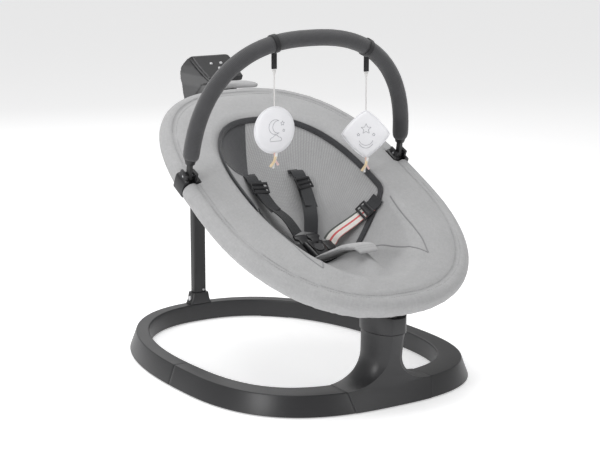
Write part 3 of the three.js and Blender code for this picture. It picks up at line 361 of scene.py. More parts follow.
class Finish:
    """A material being made. node() adds any shader node and returns one of its outputs."""

    def __init__(self, name, **values):
        self.material = bpy.data.materials.new(name)
        self.material.use_nodes = True
        self.tree = self.material.node_tree
        self.shader = self.tree.nodes["Principled BSDF"]
        for socket, value in values.items():
            self.shader.inputs[socket.replace("_", " ")].default_value = value

    def node(self, kind, settings=None, inputs=None, output=0):
        made = self.tree.nodes.new("ShaderNode" + kind)
        for key, value in (settings or {}).items():
            if key == "stops":
                self.set_stops(made.color_ramp, value)
            else:
                setattr(made, key, value)
        for key, value in (inputs or {}).items():
            self.feed(made.inputs[key], value)
        return Socket(self, made.outputs[output])

    def feed(self, target, value):
        if isinstance(value, Socket):
            self.tree.links.new(value.link, target)
        else:
            target.default_value = value

    def set_stops(self, ramp, stops):
        while len(ramp.elements) < len(stops):
            ramp.elements.new(1.0)
        for element, (place, colour) in zip(ramp.elements, stops):
            element.position, element.color = place, (*colour, 1.0)

    def set(self, **links):
        for socket, value in links.items():
            self.feed(self.shader.inputs[socket.replace("_", " ")], value)
        return self.material

    def place(self, scale=(1, 1, 1), surface=False):
        """Object coordinates, or the piece's own UV map in metres, scaled."""
        source = self.node("TexCoord", output=2 if surface else 3)
        return self.node("Mapping", {}, {"Vector": source, "Scale": scale})

    def noise(self, scale, detail=2.0, roughness=0.5, stretch=(1, 1, 1), surface=False):
        return self.node("TexNoise", {}, {"Vector": self.place(stretch, surface), "Scale": scale,
                                          "Detail": detail, "Roughness": roughness})

    def waves(self, scale, direction="X", surface=True, distortion=0.0):
        settings = {"wave_type": "BANDS", "bands_direction": direction}
        return self.node("TexWave", settings, {"Vector": self.place(surface=surface), "Scale": scale,
                                               "Distortion": distortion, "Detail": 1.0}, output=1)

    def mix(self, factor, dark, light):
        colours = [(*c, 1.0) if isinstance(c, tuple) else c for c in (dark, light)]
        return self.node("Mix", {"data_type": "RGBA"}, {0: factor, 6: colours[0], 7: colours[1]}, output=2)

    def bump(self, height, distance, strength=1.0):
        return self.node("Bump", {}, {"Height": height, "Distance": distance, "Strength": strength})


def moulded_plastic(name, dark, light, roughness=0.5, grain=1800.0, depth=0.00006):
    """Fine spark texture on moulded plastic, with a faint uneven sheen and a little dust."""
    finish = Finish(name, Specular_IOR_Level=0.5)
    texture = finish.noise(grain, detail=3.0)
    cloud = finish.noise(9.0, detail=4.0)
    return finish.set(Base_Color=finish.mix(cloud * 0.7 + texture * 0.3, dark, light),
                      Roughness=cloud * 0.12 + texture * 0.08 + (roughness - 0.1),
                      Normal=finish.bump(texture, depth))


def satin_metal(name, dark, light, metallic, roughness, grain=700.0):
    finish = Finish(name, Metallic=metallic)
    texture = finish.noise(grain, detail=2.0, stretch=(1, 1, 0.15))
    return finish.set(Base_Color=finish.mix(texture, dark, light), Roughness=texture * 0.14 + roughness,
                      Normal=finish.bump(texture, 0.00003))


def woven(name, dark, light, pitch, depth, fleck=0.5, sheen=0.25, roughness=0.9):
    """Plain weave on the piece's own map, with two-tone yarn that varies from thread to thread."""
    finish = Finish(name, Sheen_Weight=sheen, Specular_IOR_Level=0.2)
    scale = 0.314 / pitch
    weft = finish.waves(scale, "X")
    warp = finish.waves(scale, "Y")
    yarn = finish.noise(420.0, detail=3.0, stretch=(1, 0.28, 1), surface=True)
    cross = finish.noise(420.0, detail=3.0, stretch=(0.28, 1, 1), surface=True)
    cloud = finish.noise(26.0, detail=3.0, surface=True)
    tone = yarn * fleck + cross * fleck + cloud * 0.35 + (0.32 - fleck)
    weave = weft * warp
    return finish.set(Base_Color=finish.mix(tone + weave * 0.12, dark, light),
                      Roughness=weave * -0.08 + roughness,
                      Normal=finish.bump(weave + tone * 0.6, depth))


def spacer_mesh(name, shaded_ground, raised, pitch, depth):
    """Airy mesh: rows of small raised dots, lighter than the ground, with painted shade darkening the hollows
    between them.
    """
    finish = Finish(name, Sheen_Weight=0.15, Specular_IOR_Level=0.2, Roughness=0.9)
    cells = finish.node("TexVoronoi", {"feature": "F1"},
                        {"Vector": finish.place(surface=True), "Scale": 1 / pitch, "Randomness": 0.12})
    cloud = finish.noise(60.0, detail=2.0, surface=True)
    dot = cells.math("SMOOTH_MIN", 0.5, 0.2) * -2.6 + 1.05
    # the colour follows the dot height: the dots light, the hollows between them darkened as painted shade
    return finish.set(Base_Color=finish.mix(dot * 0.75 + cloud * 0.4 - 0.1, shaded_ground, raised),
                      Normal=finish.bump(dot, depth))


def ribbed_web(name, dark, light, pitch=0.0016, stripes=()):
    """Harness webbing: ribs across the strap, a denser selvedge and any woven stripes along it.
    Across the strap, the map's first coordinate is 0 at the middle."""
    finish = Finish(name, Sheen_Weight=0.2, Specular_IOR_Level=0.3, Roughness=0.82)
    ribs = finish.waves(0.314 / pitch, "Y")
    threads = finish.waves(0.314 / (pitch * 0.55), "X")
    fibre = finish.noise(900.0, detail=2.0, surface=True)
    across = finish.node("SeparateXYZ", {}, {0: finish.node("TexCoord", output=2)})
    selvedge = across.math("ABSOLUTE") > WEB_WIDTH * 0.44
    colour = finish.mix(ribs * 0.6 + fibre * 0.4, dark, light)
    for low, high, tint in stripes:
        inside = (across > low) * (across < high)
        colour = finish.mix(inside * (ribs * 0.25 + 0.75), colour, tint)
    height = ribs * 0.7 + threads * 0.3 + selvedge * 0.4
    return finish.set(Base_Color=colour, Normal=finish.bump(height, 0.00035))


def knitted(name, dark, light):
    """Stretch knit over foam: fine ribs along the sleeve with soft shading between them."""
    finish = Finish(name, Sheen_Weight=0.35, Specular_IOR_Level=0.25, Roughness=0.88)
    ribs = finish.waves(0.314 / 0.0019, "X", distortion=0.6)
    rows = finish.waves(0.314 / 0.0023, "Y", distortion=0.8)
    cloud = finish.noise(30.0, detail=4.0, surface=True)
    return finish.set(Base_Color=finish.mix(ribs * 0.3 + rows * 0.15 + cloud * 0.6, dark, light),
                      Normal=finish.bump(ribs * rows + cloud * 0.6, 0.0004))


def plush(name, dark, light, nap=700.0, depth=0.0004):
    finish = Finish(name, Sheen_Weight=0.4, Specular_IOR_Level=0.2, Roughness=0.95)
    fibre = finish.noise(nap, detail=4.0, roughness=0.7)
    cloud = finish.noise(45.0)
    return finish.set(Base_Color=finish.mix(fibre * 0.6 + cloud * 0.4, dark, light),
                      Normal=finish.bump(fibre, depth))


SHELL = moulded_plastic("base_plastic", (0.016, 0.016, 0.017), (0.024, 0.024, 0.026), 0.4)
TRIM = moulded_plastic("trim_plastic", (0.03, 0.03, 0.032), (0.042, 0.042, 0.044), 0.45)
BUCKLE = moulded_plastic("buckle_plastic", (0.009, 0.009, 0.01), (0.016, 0.016, 0.018), 0.4, depth=0.00003)
HOOP_PAINT = satin_metal("hoop_paint", (0.012, 0.012, 0.013), (0.022, 0.022, 0.023), 0.0, 0.38)
POST_PAINT = satin_metal("post_powder_coat", (0.010, 0.010, 0.011), (0.019, 0.019, 0.020), 0.0, 0.36)
STEEL = satin_metal("bright_steel", (0.50, 0.51, 0.53), (0.66, 0.67, 0.69), 1.0, 0.26)
SCREW = satin_metal("zinc_screw", (0.45, 0.45, 0.46), (0.75, 0.75, 0.76), 0.9, 0.32)
COPPER = satin_metal("enamelled_copper", (0.52, 0.24, 0.10), (0.72, 0.38, 0.18), 1.0, 0.3)
RUBBER = moulded_plastic("foot_rubber", (0.010, 0.010, 0.011), (0.018, 0.018, 0.019), 0.85, 900.0, 0.0001)
BOARD = moulded_plastic("circuit_board", (0.012, 0.08, 0.035), (0.02, 0.13, 0.06), 0.45)
BUSH = moulded_plastic("bush_nylon", (0.70, 0.69, 0.64), (0.80, 0.79, 0.75), 0.5)
MELANGE = woven("melange_fabric", (0.285, 0.285, 0.288), (0.455, 0.455, 0.458), 0.0014, 0.00022)
LINER_MESH = spacer_mesh("liner_mesh", (0.33, 0.33, 0.333), (0.52, 0.52, 0.524), 0.0030, 0.0003)
TAPE = woven("binding_tape", (0.030, 0.030, 0.033), (0.055, 0.056, 0.060), 0.0011, 0.0002)
# a dark cloth laid only on the near side of the head end, as painted shade on that inner wall
PAINTED_SHADE_CLOTH = woven("painted_shade_cloth", (0.045, 0.046, 0.049), (0.085, 0.086, 0.091), 0.0013, 0.0002)
THREAD = plush("seam_thread", (0.19, 0.19, 0.195), (0.27, 0.27, 0.275), depth=0.0001)
DARK_THREAD = plush("dark_thread", (0.05, 0.05, 0.053), (0.09, 0.09, 0.095), depth=0.0001)
WEBBING = ribbed_web("harness_webbing", (0.020, 0.021, 0.023), (0.042, 0.043, 0.046))
STRIPED = ribbed_web("striped_webbing", (0.66, 0.63, 0.59), (0.86, 0.83, 0.79), stripes=(
    (-0.0022, 0.0016, (0.62, 0.045, 0.06)), (0.0085, 0.013, (0.012, 0.028, 0.022)),
    (-0.013, -0.0112, (0.55, 0.16, 0.15))))
SLEEVE = knitted("knitted_sleeve", (0.036, 0.036, 0.038), (0.078, 0.078, 0.082))
PLUSH = plush("toy_plush", (0.80, 0.80, 0.83), (0.93, 0.93, 0.95))
CORD = woven("toy_cord_braid", (0.72, 0.71, 0.70), (0.90, 0.89, 0.88), 0.0009, 0.0002)
INK = plush("printed_line", (0.30, 0.30, 0.33), (0.42, 0.41, 0.45), depth=0.00005)
RIBBONS = [woven(f"ribbon_{name}", dark, light, 0.0007, 0.0001, sheen=0.5) for name, dark, light in (
    ("cream", (0.75, 0.58, 0.36), (0.90, 0.74, 0.50)), ("white", (0.82, 0.81, 0.80), (0.95, 0.94, 0.93)),
    ("rose", (0.80, 0.52, 0.50), (0.93, 0.68, 0.66)))]
MELANGE_PADDING = plush("melange_padding", (0.285, 0.285, 0.288), (0.455, 0.455, 0.458), nap=520.0)
LOOP_WEB = plush("loop_webbing", (0.010, 0.010, 0.011), (0.024, 0.024, 0.026), nap=1400.0)


# ---------------------------------------------------------------- modelling kit
def activate(obj):
    bpy.ops.object.select_all(action="DESELECT")
    obj.select_set(True)
    bpy.context.view_layer.objects.active = obj


@contextmanager
def editing(obj):
    activate(obj)
    bpy.ops.object.mode_set(mode="EDIT")
    yield
    bpy.ops.object.mode_set(mode="OBJECT")


def choose(accept):
    """In edit mode, selects only the faces whose middle and normal are accepted."""
    bpy.ops.mesh.select_mode(type="FACE")
    bpy.ops.mesh.select_all(action="DESELECT")
    bm = bmesh.from_edit_mesh(bpy.context.object.data)
    for face in bm.faces:
        face.select_set(accept(face.calc_center_median(), face.normal))
    bmesh.update_edit_mesh(bpy.context.object.data)


def extrude(offset):
    bpy.ops.mesh.extrude_region_move(TRANSFORM_OT_translate={"value": offset})


def inset(width, depth=0.0, each=False):
    bpy.ops.mesh.inset(thickness=width, depth=depth, use_individual=each)


def resize(factors, centre=(0, 0, 0)):
    bpy.ops.transform.resize(value=factors, center_override=centre)


def modify(obj, kind, **settings):
    """Adds a modifier and applies it."""
    activate(obj)
    modifier = obj.modifiers.new(kind.lower(), kind)
    for key, value in settings.items():
        setattr(modifier, key, value)
    bpy.ops.object.modifier_apply(modifier=modifier.name)
    return obj


def soften(obj, width, segments=3, angle=35, shade=40):
    """Rounds the edges that turn by more than angle, and smooths the rest."""
    modify(obj, "BEVEL", width=width, segments=segments, limit_method="ANGLE",
           angle_limit=math.radians(angle), harden_normals=False)
    return shaded(obj, shade)


def shaded(obj, angle=40):
    activate(obj)
    bpy.ops.object.shade_smooth_by_angle(angle=math.radians(angle))
    return obj


def added(name):
    """Names the primitive just added and moves its place and size into its mesh."""
    obj = bpy.context.object
    obj.name = obj.data.name = name
    bpy.ops.object.transform_apply(location=True, rotation=True, scale=True)
    return obj


def cube(name, size, centre=(0, 0, 0)):
    bpy.ops.object.select_all(action="DESELECT")
    bpy.ops.mesh.primitive_cube_add(size=1, location=centre, scale=size)
    return added(name)


def cylinder(name, radius, depth, centre=(0, 0, 0), turn=(0, 0, 0), sides=48):
    bpy.ops.object.select_all(action="DESELECT")
    bpy.ops.mesh.primitive_cylinder_add(vertices=sides, radius=radius, depth=depth, location=centre,
                                        rotation=turn)
    return added(name)


def placed(obj, matrix):
    obj.data.transform(matrix)
    if matrix.determinant() < 0:
        obj.data.flip_normals()
    obj.data.update()
    return obj


def joined(name, *objs):
    """One mesh object from several."""
    bpy.ops.object.select_all(action="DESELECT")
    for obj in objs:
        obj.select_set(True)
    bpy.context.view_layer.objects.active = objs[0]
    bpy.ops.object.join()
    objs[0].name = objs[0].data.name = name
    return objs[0]


def cut_out(obj, *tools):
    """Takes the tools' shapes out of obj and removes them."""
    tool = joined("cutter", *tools) if len(tools) > 1 else tools[0]
    modify(obj, "BOOLEAN", object=tool, operation="DIFFERENCE", solver="EXACT", use_self=len(tools) > 1)
    bpy.data.objects.remove(tool)
    return obj


def mesh_object(name, points, faces, uvs=None):
    mesh = bpy.data.meshes.new(name)
    mesh.from_pydata([tuple(p) for p in points], [], faces)
    if uvs:
        layer = mesh.uv_layers.new(name="UVMap")
        for loop, uv in zip(layer.data, uvs):
            loop.uv = uv
    obj = bpy.data.objects.new(name, mesh)
    bpy.context.scene.collection.objects.link(obj)
    return obj


def skin(name, rows, loop=False, ring=True, caps=True, middle=False):
    """Joins rows of points into one mesh whose map is in metres: first round a row, then along the run.
    Rows are closed sections unless ring is off. middle puts the map's 0 half-way across a row."""
    count, width = len(rows[0]), len(rows[0]) + (1 if ring else 0)
    sample = rows[len(rows) // 2]
    around = [0.0]
    for j in range(1, width):
        around.append(around[-1] + (sample[j % count] - sample[j - 1]).length)
    if middle:
        around = [(u - around[width // 2]) for u in around]
    centres = [sum(row, Vector((0, 0, 0))) / count for row in rows]
    along = [0.0]
    for i in range(1, len(rows) + (1 if loop else 0)):
        along.append(along[-1] + (centres[i % len(rows)] - centres[i - 1]).length)
    faces, uvs = [], []
    for i in range(len(rows) if loop else len(rows) - 1):
        a, b = i * count, ((i + 1) % len(rows)) * count
        for j in range(width - 1):
            k = (j + 1) % count
            faces.append((a + j, a + k, b + k, b + j))
            uvs += [(around[j], along[i]), (around[j + 1], along[i]),
                    (around[j + 1], along[i + 1]), (around[j], along[i + 1])]
    if ring and caps and not loop:
        last = (len(rows) - 1) * count
        faces += [tuple(reversed(range(count))), tuple(range(last, last + count))]
        uvs += [(around[j], along[0]) for j in reversed(range(count))]
        uvs += [(around[j], along[-1]) for j in range(count)]
    obj = mesh_object(name, [p for row in rows for p in row], faces, uvs)
    return facing_out(obj)


def facing_out(obj, doubles=0.0):
    with editing(obj):
        bpy.ops.mesh.select_all(action="SELECT")
        if doubles:
            bpy.ops.mesh.remove_doubles(threshold=doubles)
        bpy.ops.mesh.normals_make_consistent(inside=False)
    return obj


def sweep(name, path, section, up, closed=False, scales=None):
    """Runs a flat section (across, up) along a path. up gives the section's second axis at each point."""
    rows = []
    for i, point in enumerate(path):
        before = path[i - 1] if closed or i else path[0]
        after = path[(i + 1) % len(path)] if closed or i + 1 < len(path) else path[-1]
        tangent = (after - before).normalized()
        lift = up[i] if isinstance(up, list) else up
        side = tangent.cross(lift).normalized()
        lift = side.cross(tangent)
        scale = scales[i] if scales else 1.0
        rows.append([point + side * (q.x * scale) + lift * (q.y * scale) for q in section])
    return skin(name, rows, loop=closed)


def dress(obj, finish, slot, body, *replaced):
    """Gives a finished piece its material, hangs it on the body it rides on and hides the nodes it stands
    for. The slot is not used.
    """
    obj.data.materials.clear()
    obj.data.materials.append(finish)
    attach(obj, body)
    if replaced:
        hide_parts(*replaced)
    return obj


def cad_copy(node, name, width, segments=3, shade=35):
    """A copy of a CAD node with its loose triangles merged and its edges rounded."""
    obj = frame["nodes"][node].copy()
    obj.data = obj.data.copy()
    obj.parent = None
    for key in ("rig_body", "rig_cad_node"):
        del obj[key]
    obj.name = obj.data.name = name
    bpy.context.scene.collection.objects.link(obj)
    with editing(obj):
        bpy.ops.mesh.select_all(action="SELECT")
        bpy.ops.mesh.remove_doubles(threshold=0.00002)
        bpy.ops.mesh.tris_convert_to_quads()
        bpy.ops.mesh.dissolve_limited(angle_limit=math.radians(1))
    return soften(obj, width, segments, 30, shade)


def body_of(node):
    return next(name for name, nodes in frame["record"]["behaviour"]["bodies"].items() if node in nodes)


def puff(obj, voxel=0.004, pressure=4.0, travel=0.006, levels=1):
    """Swells a closed shape as stuffed cloth, with no point moving further than travel."""
    modify(obj, "REMESH", mode="VOXEL", voxel_size=voxel, use_smooth_shade=True)
    modify(obj, "SMOOTH", factor=0.5, iterations=3)
    rest = [v.co.copy() for v in obj.data.vertices]
    cloth = obj.modifiers.new("cloth", "CLOTH")
    cloth.settings.use_pressure = True
    cloth.settings.uniform_pressure_force = pressure
    cloth.settings.effector_weights.gravity = 0
    cloth.point_cache.frame_start, cloth.point_cache.frame_end = 1, PUFF_FRAMES
    for number in range(1, PUFF_FRAMES + 1):
        bpy.context.scene.frame_set(number)
    activate(obj)
    bpy.ops.object.modifier_apply(modifier=cloth.name)
    bpy.context.scene.frame_set(1)
    for vertex, start in zip(obj.data.vertices, rest):
        step = vertex.co - start
        if step.length > travel:
            vertex.co = start + step.normalized() * travel
    modify(obj, "SUBSURF", levels=levels, render_levels=levels)
    return shaded(obj, 180)


PUFF_FRAMES = 20


def stitches(name, path, normals, pitch, length, radius, lift=0.0002):
    """A run of short threads along a path, each a slim rounded bead."""
    sides, points, faces = 5, [], []
    total = sum((b - a).length for a, b in zip(path, path[1:]))
    count = int(total / pitch)
    line = evenly(path, count, closed=False)
    lifts = evenly(path, count, closed=False, riders=normals)
    for i in range(count - 1):
        along = (line[i + 1] - line[i]).normalized()
        up = lifts[i].normalized()
        side = along.cross(up).normalized()
        centre = line[i] + up * lift
        base = len(points)
        for share, swell in ((-0.5, 0.35), (-0.3, 1.0), (0.3, 1.0), (0.5, 0.35)):
            for k in range(sides):
                a = 2 * math.pi * k / sides
                points.append(centre + along * (length * share) + side * (radius * swell * math.cos(a))
                              + up * (radius * swell * math.sin(a)))
        for ring in range(3):
            for k in range(sides):
                n, a = (k + 1) % sides, base + ring * sides
                faces.append((a + k, a + n, a + sides + n, a + sides + k))
        faces.append(tuple(base + k for k in reversed(range(sides))))
        faces.append(tuple(base + 3 * sides + k for k in range(sides)))
    return shaded(facing_out(mesh_object(name, points, faces)), 180)


# ---------------------------------------------------------------- toy cords
def toy_hang(side):
    """The place on the toy bar that a toy hangs from, and the lower end of its webbing loop."""
    hold = bar_point(TOY_ANGLES[side])
    drop = BAR_RADIUS + LOOP_CLEARANCE + LOOP_THICKNESS + TOY_LOOP_LENGTH
    return hold, hold - Vector((0, 0, drop))


CORD_POINTS = 16


def make_toy_cord(side):
    _, tab = toy_hang(side)
    top = tab - Vector((0, 0, CORD_CLEARANCE))
    length = CORD_LENGTHS[side]
    curve = bpy.data.curves.new(f"toy_cord_line_{side}", "CURVE")
    curve.dimensions, curve.bevel_depth, curve.bevel_resolution = "3D", CORD_RADIUS, 3
    curve.use_fill_caps = True
    line = curve.splines.new("POLY")
    line.points.add(CORD_POINTS - 1)
    for i, point in enumerate(line.points):
        point.co = (*(top - Vector((0, 0, length * i / (CORD_POINTS - 1)))), 1)
    cord = bpy.data.objects.new(curve.name, curve)
    bpy.context.scene.collection.objects.link(cord)
    dress(cord, CORD, "toy_fabric", f"toy_{side}", f"toy_cord_{side}")


make_toy_cord("left")
make_toy_cord("right")


# ---------------------------------------------------------------- base ring
def slant(inset_from_edge, z, band):
    """Ring steps the front seam leans by: the band's inner edge further back, the wall's foot forward."""
    back = 0.010 * max(0, inset_from_edge - RING_DRAFT) / band
    forward = 0.011 * (1 - z / RING_HEIGHT)
    return (back - forward) / RING_STEP


def ring_section(position, sign=1, lean=0.0):
    band = ring_sample(position)[2]
    inner = RING_DRAFT + band
    corners = [(0, RING_LIFT, 0.0012), (RING_DRAFT, RING_HEIGHT, 0.0016), (inner, RING_HEIGHT, 0.0028),
               (inner, RING_LIFT, 0.001), (inner - WALL, RING_LIFT, 0.0006),
               (inner - WALL, RING_HEIGHT - WALL, 0.001), (RING_DRAFT + WALL, RING_HEIGHT - WALL, 0.001),
               (WALL * 1.1, RING_LIFT, 0.0006)]
    return [ring_point(sign * (position + lean * slant(q.x, q.y, band)), q.x, q.y) for q in rounded(corners)]


def make_ring():
    steps = 56
    gap = SEAM / RING_STEP
    for side, sign in (("left", 1), ("right", -1)):
        start, stop = PEDESTAL_END + gap, RAIL_END - gap
        rows = [ring_section(start + (stop - start) * i / steps, sign, (1 - i / steps) ** 3)
                for i in range(steps + 1)]
        rail = soften(skin(f"rail_moulding_{side}", rows), 0.0007, 2, 60)
        dress(rail, SHELL, "shell", "base", f"rail_{side}")
    start, stop, steps = RAIL_END + gap, RING_STEPS - RAIL_END - gap, 150
    rows = [ring_section(start + (stop - start) * i / steps) for i in range(steps + 1)]
    arc = soften(skin("rear_arc_moulding", rows), 0.0007, 2, 60)
    dress(arc, SHELL, "shell", "base", "rear_arc")


# ---------------------------------------------------------------- pedestal and collar
FRONT_LINE = [(-0.321, 0.0015), (-0.3155, 0.018), (-0.3116, 0.030), (-0.3105, 0.040), (-0.3110, 0.052),
              (-0.3142, 0.070), (-0.3180, 0.090), (-0.3250, 0.123)]  # the front skin at its middle (y, z)
FRONT_CURVE = spline([Vector(p) for p in FRONT_LINE], 200)
FRONT_STEPS, SIDE_STEPS, BACK_STEPS = 36, 18, 20
FOOT_Z = (0.0015, 0.0022, 0.010, 0.018, 0.025, 0.031, RING_HEIGHT)


def front_y(z):
    return min(FRONT_CURVE, key=lambda p: abs(p.y - z)).x


def column_side(front, back, half_x, strip):
    """One side of the column from the front strip's edge round to the back, for +X."""
    middle, rim = (front + back) / 2, math.acos(strip / half_x)
    reach = (back - front) / 2 / math.sin(rim)
    angles = [rim - 2 * rim * i / SIDE_STEPS for i in range(SIDE_STEPS + 1)]
    return [Vector((half_x * math.cos(a) ** 0.92, middle - reach * math.sin(a))) for a in angles]


def column_loop(front, back, half_x, strip, bulge=0.0006):
    """The column's whole outline: front strip from -X to +X, +X side, back, -X side."""
    side = column_side(front, back, half_x, strip)
    strip_x = side[0].x
    shares = [2 * i / FRONT_STEPS - 1 for i in range(FRONT_STEPS)]
    across = [Vector((strip_x * share, front - bulge * (1 - share**2))) for share in shares]
    back_x = side[-1].x
    rear = [Vector((back_x * (1 - 2 * i / BACK_STEPS), back)) for i in range(BACK_STEPS)]
    return across + side[:-1] + rear + [Vector((-p.x, p.y)) for p in reversed(side[1:])]


def foot_loop(z):
    """The pedestal's foot at a height below the ring's top, in the same order as column_loop."""
    gap = SEAM / RING_STEP
    band = ring_sample(PEDESTAL_END)[2]
    draft = RING_DRAFT * (z - RING_LIFT) / (RING_HEIGHT - RING_LIFT)
    inner = RING_DRAFT + band

    def at(share, inset_from_edge):
        reach = PEDESTAL_END - gap + slant(inset_from_edge, z, band)
        return ring_point(share * reach, inset_from_edge, z).xy

    shares = [2 * i / FRONT_STEPS - 1 for i in range(FRONT_STEPS)]
    swell = front_y(z) - at(0, draft).y
    front = [at(f, draft) + Vector((0, swell * (1 - f * f))) for f in shares]
    side = [at(1, draft + (inner - draft) * i / SIDE_STEPS) for i in range(SIDE_STEPS)]
    back = [at(1 - 2 * i / BACK_STEPS, inner) for i in range(BACK_STEPS)]
    far = [at(-1, inner + (draft - inner) * i / SIDE_STEPS) for i in range(SIDE_STEPS)]
    return front + side + back + far


def pedestal_rows():
    rows = [[Vector((*p, z)) for p in foot_loop(z)] for z in FOOT_Z]
    base = foot_loop(RING_HEIGHT)
    middle_y, half = base[FRONT_STEPS // 2].y, base[FRONT_STEPS].x
    flares = 18
    for i in range(1, flares + 1):
        turn = math.pi / 2 * i / flares
        z = RING_HEIGHT + (FLARE_TOP - RING_HEIGHT) * (1 - math.cos(turn))
        share = math.sin(turn)
        column = column_loop(front_y(z), COLUMN_Y + COLUMN_HALF_Y, COLUMN_HALF_X, STRIP_HALF)
        row = [p.lerp(q, share) for p, q in zip(base, column)]
        narrow = abs(column[0].x + (base[0].x - column[0].x) * (1 - share)) / half
        lean = front_y(z) - middle_y
        for k in range(FRONT_STEPS + 1):
            across = 2 * k / FRONT_STEPS - 1
            back = (base[k].y - middle_y) * narrow**2 + lean * (1 - (across * narrow) ** 2)
            row[k] = Vector((across * narrow * half, middle_y + back))
        rows.append([Vector((*p, z)) for p in row])
    for z in (0.095, 0.104, 0.113, COLUMN_TOP):
        column = column_loop(front_y(z), COLUMN_Y + COLUMN_HALF_Y, COLUMN_HALF_X, STRIP_HALF)
        rows.append([Vector((*p, z)) for p in column])
    return rows


def collar_top(y):
    return COLLAR_FRONT_TOP + (y - COLUMN_Y + COLUMN_HALF_Y) * COLLAR_SLOPE


def make_pedestal():
    pedestal = skin("pedestal_moulding", pedestal_rows())
    with editing(pedestal):
        choose(lambda middle, normal: normal.z > 0.99 and middle.z > COLUMN_TOP - 0.001)
        inset(0.008)
        extrude((0, 0, -0.026))
        extrude((0, 0, -0.052))
        resize((0.8, 0.45, 1), (0, COLUMN_Y + COLUMN_HALF_Y - 0.008, COLUMN_TOP - 0.078))
        choose(lambda middle, normal: normal.z < -0.99 and middle.z < RING_LIFT + 0.0005)
        inset(0.0058)
        extrude((0, 0, 0.0055))
    back = COLUMN_Y + COLUMN_HALF_Y
    quarter = (math.pi / 2, 0, 0)
    cut_out(pedestal, cylinder("button_hole", 0.0087, 0.022, (0, back, 0.096), quarter),
            cylinder("inlet_hole", 0.0052, 0.014, (0, back, 0.066), quarter))
    soften(pedestal, 0.0011, 3, 22, 30)
    dress(pedestal, SHELL, "shell", "base", "pedestal_shell")

    margin = 0.002
    rows = []
    outline = column_loop(COLUMN_Y - COLUMN_HALF_Y - margin, COLUMN_Y + COLUMN_HALF_Y + margin,
                          COLUMN_HALF_X + margin, STRIP_HALF + margin, 0.0008)
    for share in (0, 0.5, 1):
        rows.append([Vector((*p, COLLAR_BOTTOM + (collar_top(p.y) - COLLAR_BOTTOM) * share))
                     for p in outline])
    collar = skin("collar_moulding", rows)
    with editing(collar):
        choose(lambda middle, normal: abs(normal.z) > 0.6)
        bpy.ops.mesh.delete(type="FACE")
    modify(collar, "SOLIDIFY", thickness=WALL, offset=-1)
    soften(collar, 0.0009, 3, 30, 35)
    dress(collar, SHELL, "shell", "base")
    dress(cad_copy("front_collar", "collar_bearing_walls", 0.0004), SHELL, "shell", "base", "front_collar")


# ---------------------------------------------------------------- rear post and its head
def make_post():
    low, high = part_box("rear_post")
    post = cube("post_tube", high - low, (low + high) / 2)
    with editing(post):
        bpy.ops.mesh.select_all(action="SELECT")
        bpy.ops.mesh.subdivide(number_cuts=1)
    soften(post, 0.0042, 5)
    dress(post, POST_PAINT, "post", "base", "rear_post")

    dress(cad_copy("post_foot", "post_foot_moulding", 0.0012), SHELL, "shell", "base", "post_foot")

    for node, name in (("post_head", "post_head_moulding"), ("post_head_cover", "post_head_lid")):
        head = cad_copy(node, name, 0.0002)
        modify(head, "REMESH", mode="VOXEL", voxel_size=0.0016, use_smooth_shade=True)
        modify(head, "SMOOTH", factor=0.5, iterations=7)
        modify(head, "DECIMATE", ratio=0.5)
        shaded(head, 50)
        dress(head, SHELL, "shell", "base", node)


def screw_at(name, centre, normal, radius=0.0036):
    """A pan-head screw with a cross recess, its head towards normal."""
    head = cylinder(name, radius, 0.0016, (0, 0, 0.0002), sides=28)
    with editing(head):
        choose(lambda middle, n: n.z > 0.9)
        resize((0.72, 0.72, 1), (0, 0, 0.001))
    slot_depth = 0.0012
    cut_out(head, cube("slot_a", (radius * 1.1, 0.0008, slot_depth), (0, 0, 0.001)),
            cube("slot_b", (0.0008, radius * 1.1, slot_depth), (0, 0, 0.001)))
    soften(head, 0.00018, 2)
    turn = normal.to_track_quat("Z", "Y").to_matrix().to_4x4()
    return placed(head, Matrix.Translation(centre) @ turn)


def surface_hit(obj, origin, direction):
    tree = BVHTree.FromObject(obj, bpy.context.evaluated_depsgraph_get())
    place, normal, _, _ = tree.ray_cast(origin, direction)
    return place, normal


def make_head_screws():
    lid = bpy.data.objects["post_head_lid"]
    heads = []
    for x, y in ((-0.0105, 0.256), (0.0105, 0.256), (0.0, 0.243)):
        place, normal = surface_hit(lid, Vector((x, y, 0.6)), Vector((0, 0, -1)))
        heads.append(screw_at("head_screw", place, normal))
    dress(joined("post_head_screws", *heads), SCREW, "steel", "base")
    low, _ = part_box("rear_post")
    foot_screw = screw_at("post_foot_screw", Vector((0.006, low.y, 0.062)), Vector((0, -1, 0)), 0.0026)
    dress(foot_screw, SCREW, "steel", "base")


# ---------------------------------------------------------------- seat cover
RIM_CONTROL = [(0.040, -0.020), (0.024, -0.024), (0.009, -0.020), (0.001, -0.009), (0.0, 0.0),
               (0.0025, 0.007), (0.009, 0.0125), (0.017, 0.0135), (0.0235, 0.0108), (0.031, 0.0128)]
RIM_SHARES = [(0.5, 0.0142), (0.8, 0.0130), (0.93, 0.0112)]
RIM_STEPS, BUCKET_STEPS, COVER_ANGLES = 62, 46, 260
FIRST_V = 0.035


def puckers(angle, run):
    """Small gathers where the cover is drawn over the tube, and soft drag lines across the rim."""
    spot = Vector((math.cos(angle), math.sin(angle), 0))
    gathers = noise.noise(spot * 26 + Vector((0, 0, run * 14))) * math.exp(-((run - 0.006) / 0.016) ** 2)
    drags = noise.noise(spot * 7 + Vector((4, 1, run * 22))) * smooth_step(0.02, 0.05, run)
    footward = smooth_step(0.55, 1.0, -math.sin(angle))
    return 0.0012 * gathers * (0.45 + footward) + 0.0011 * drags * (0.5 + 0.9 * footward)


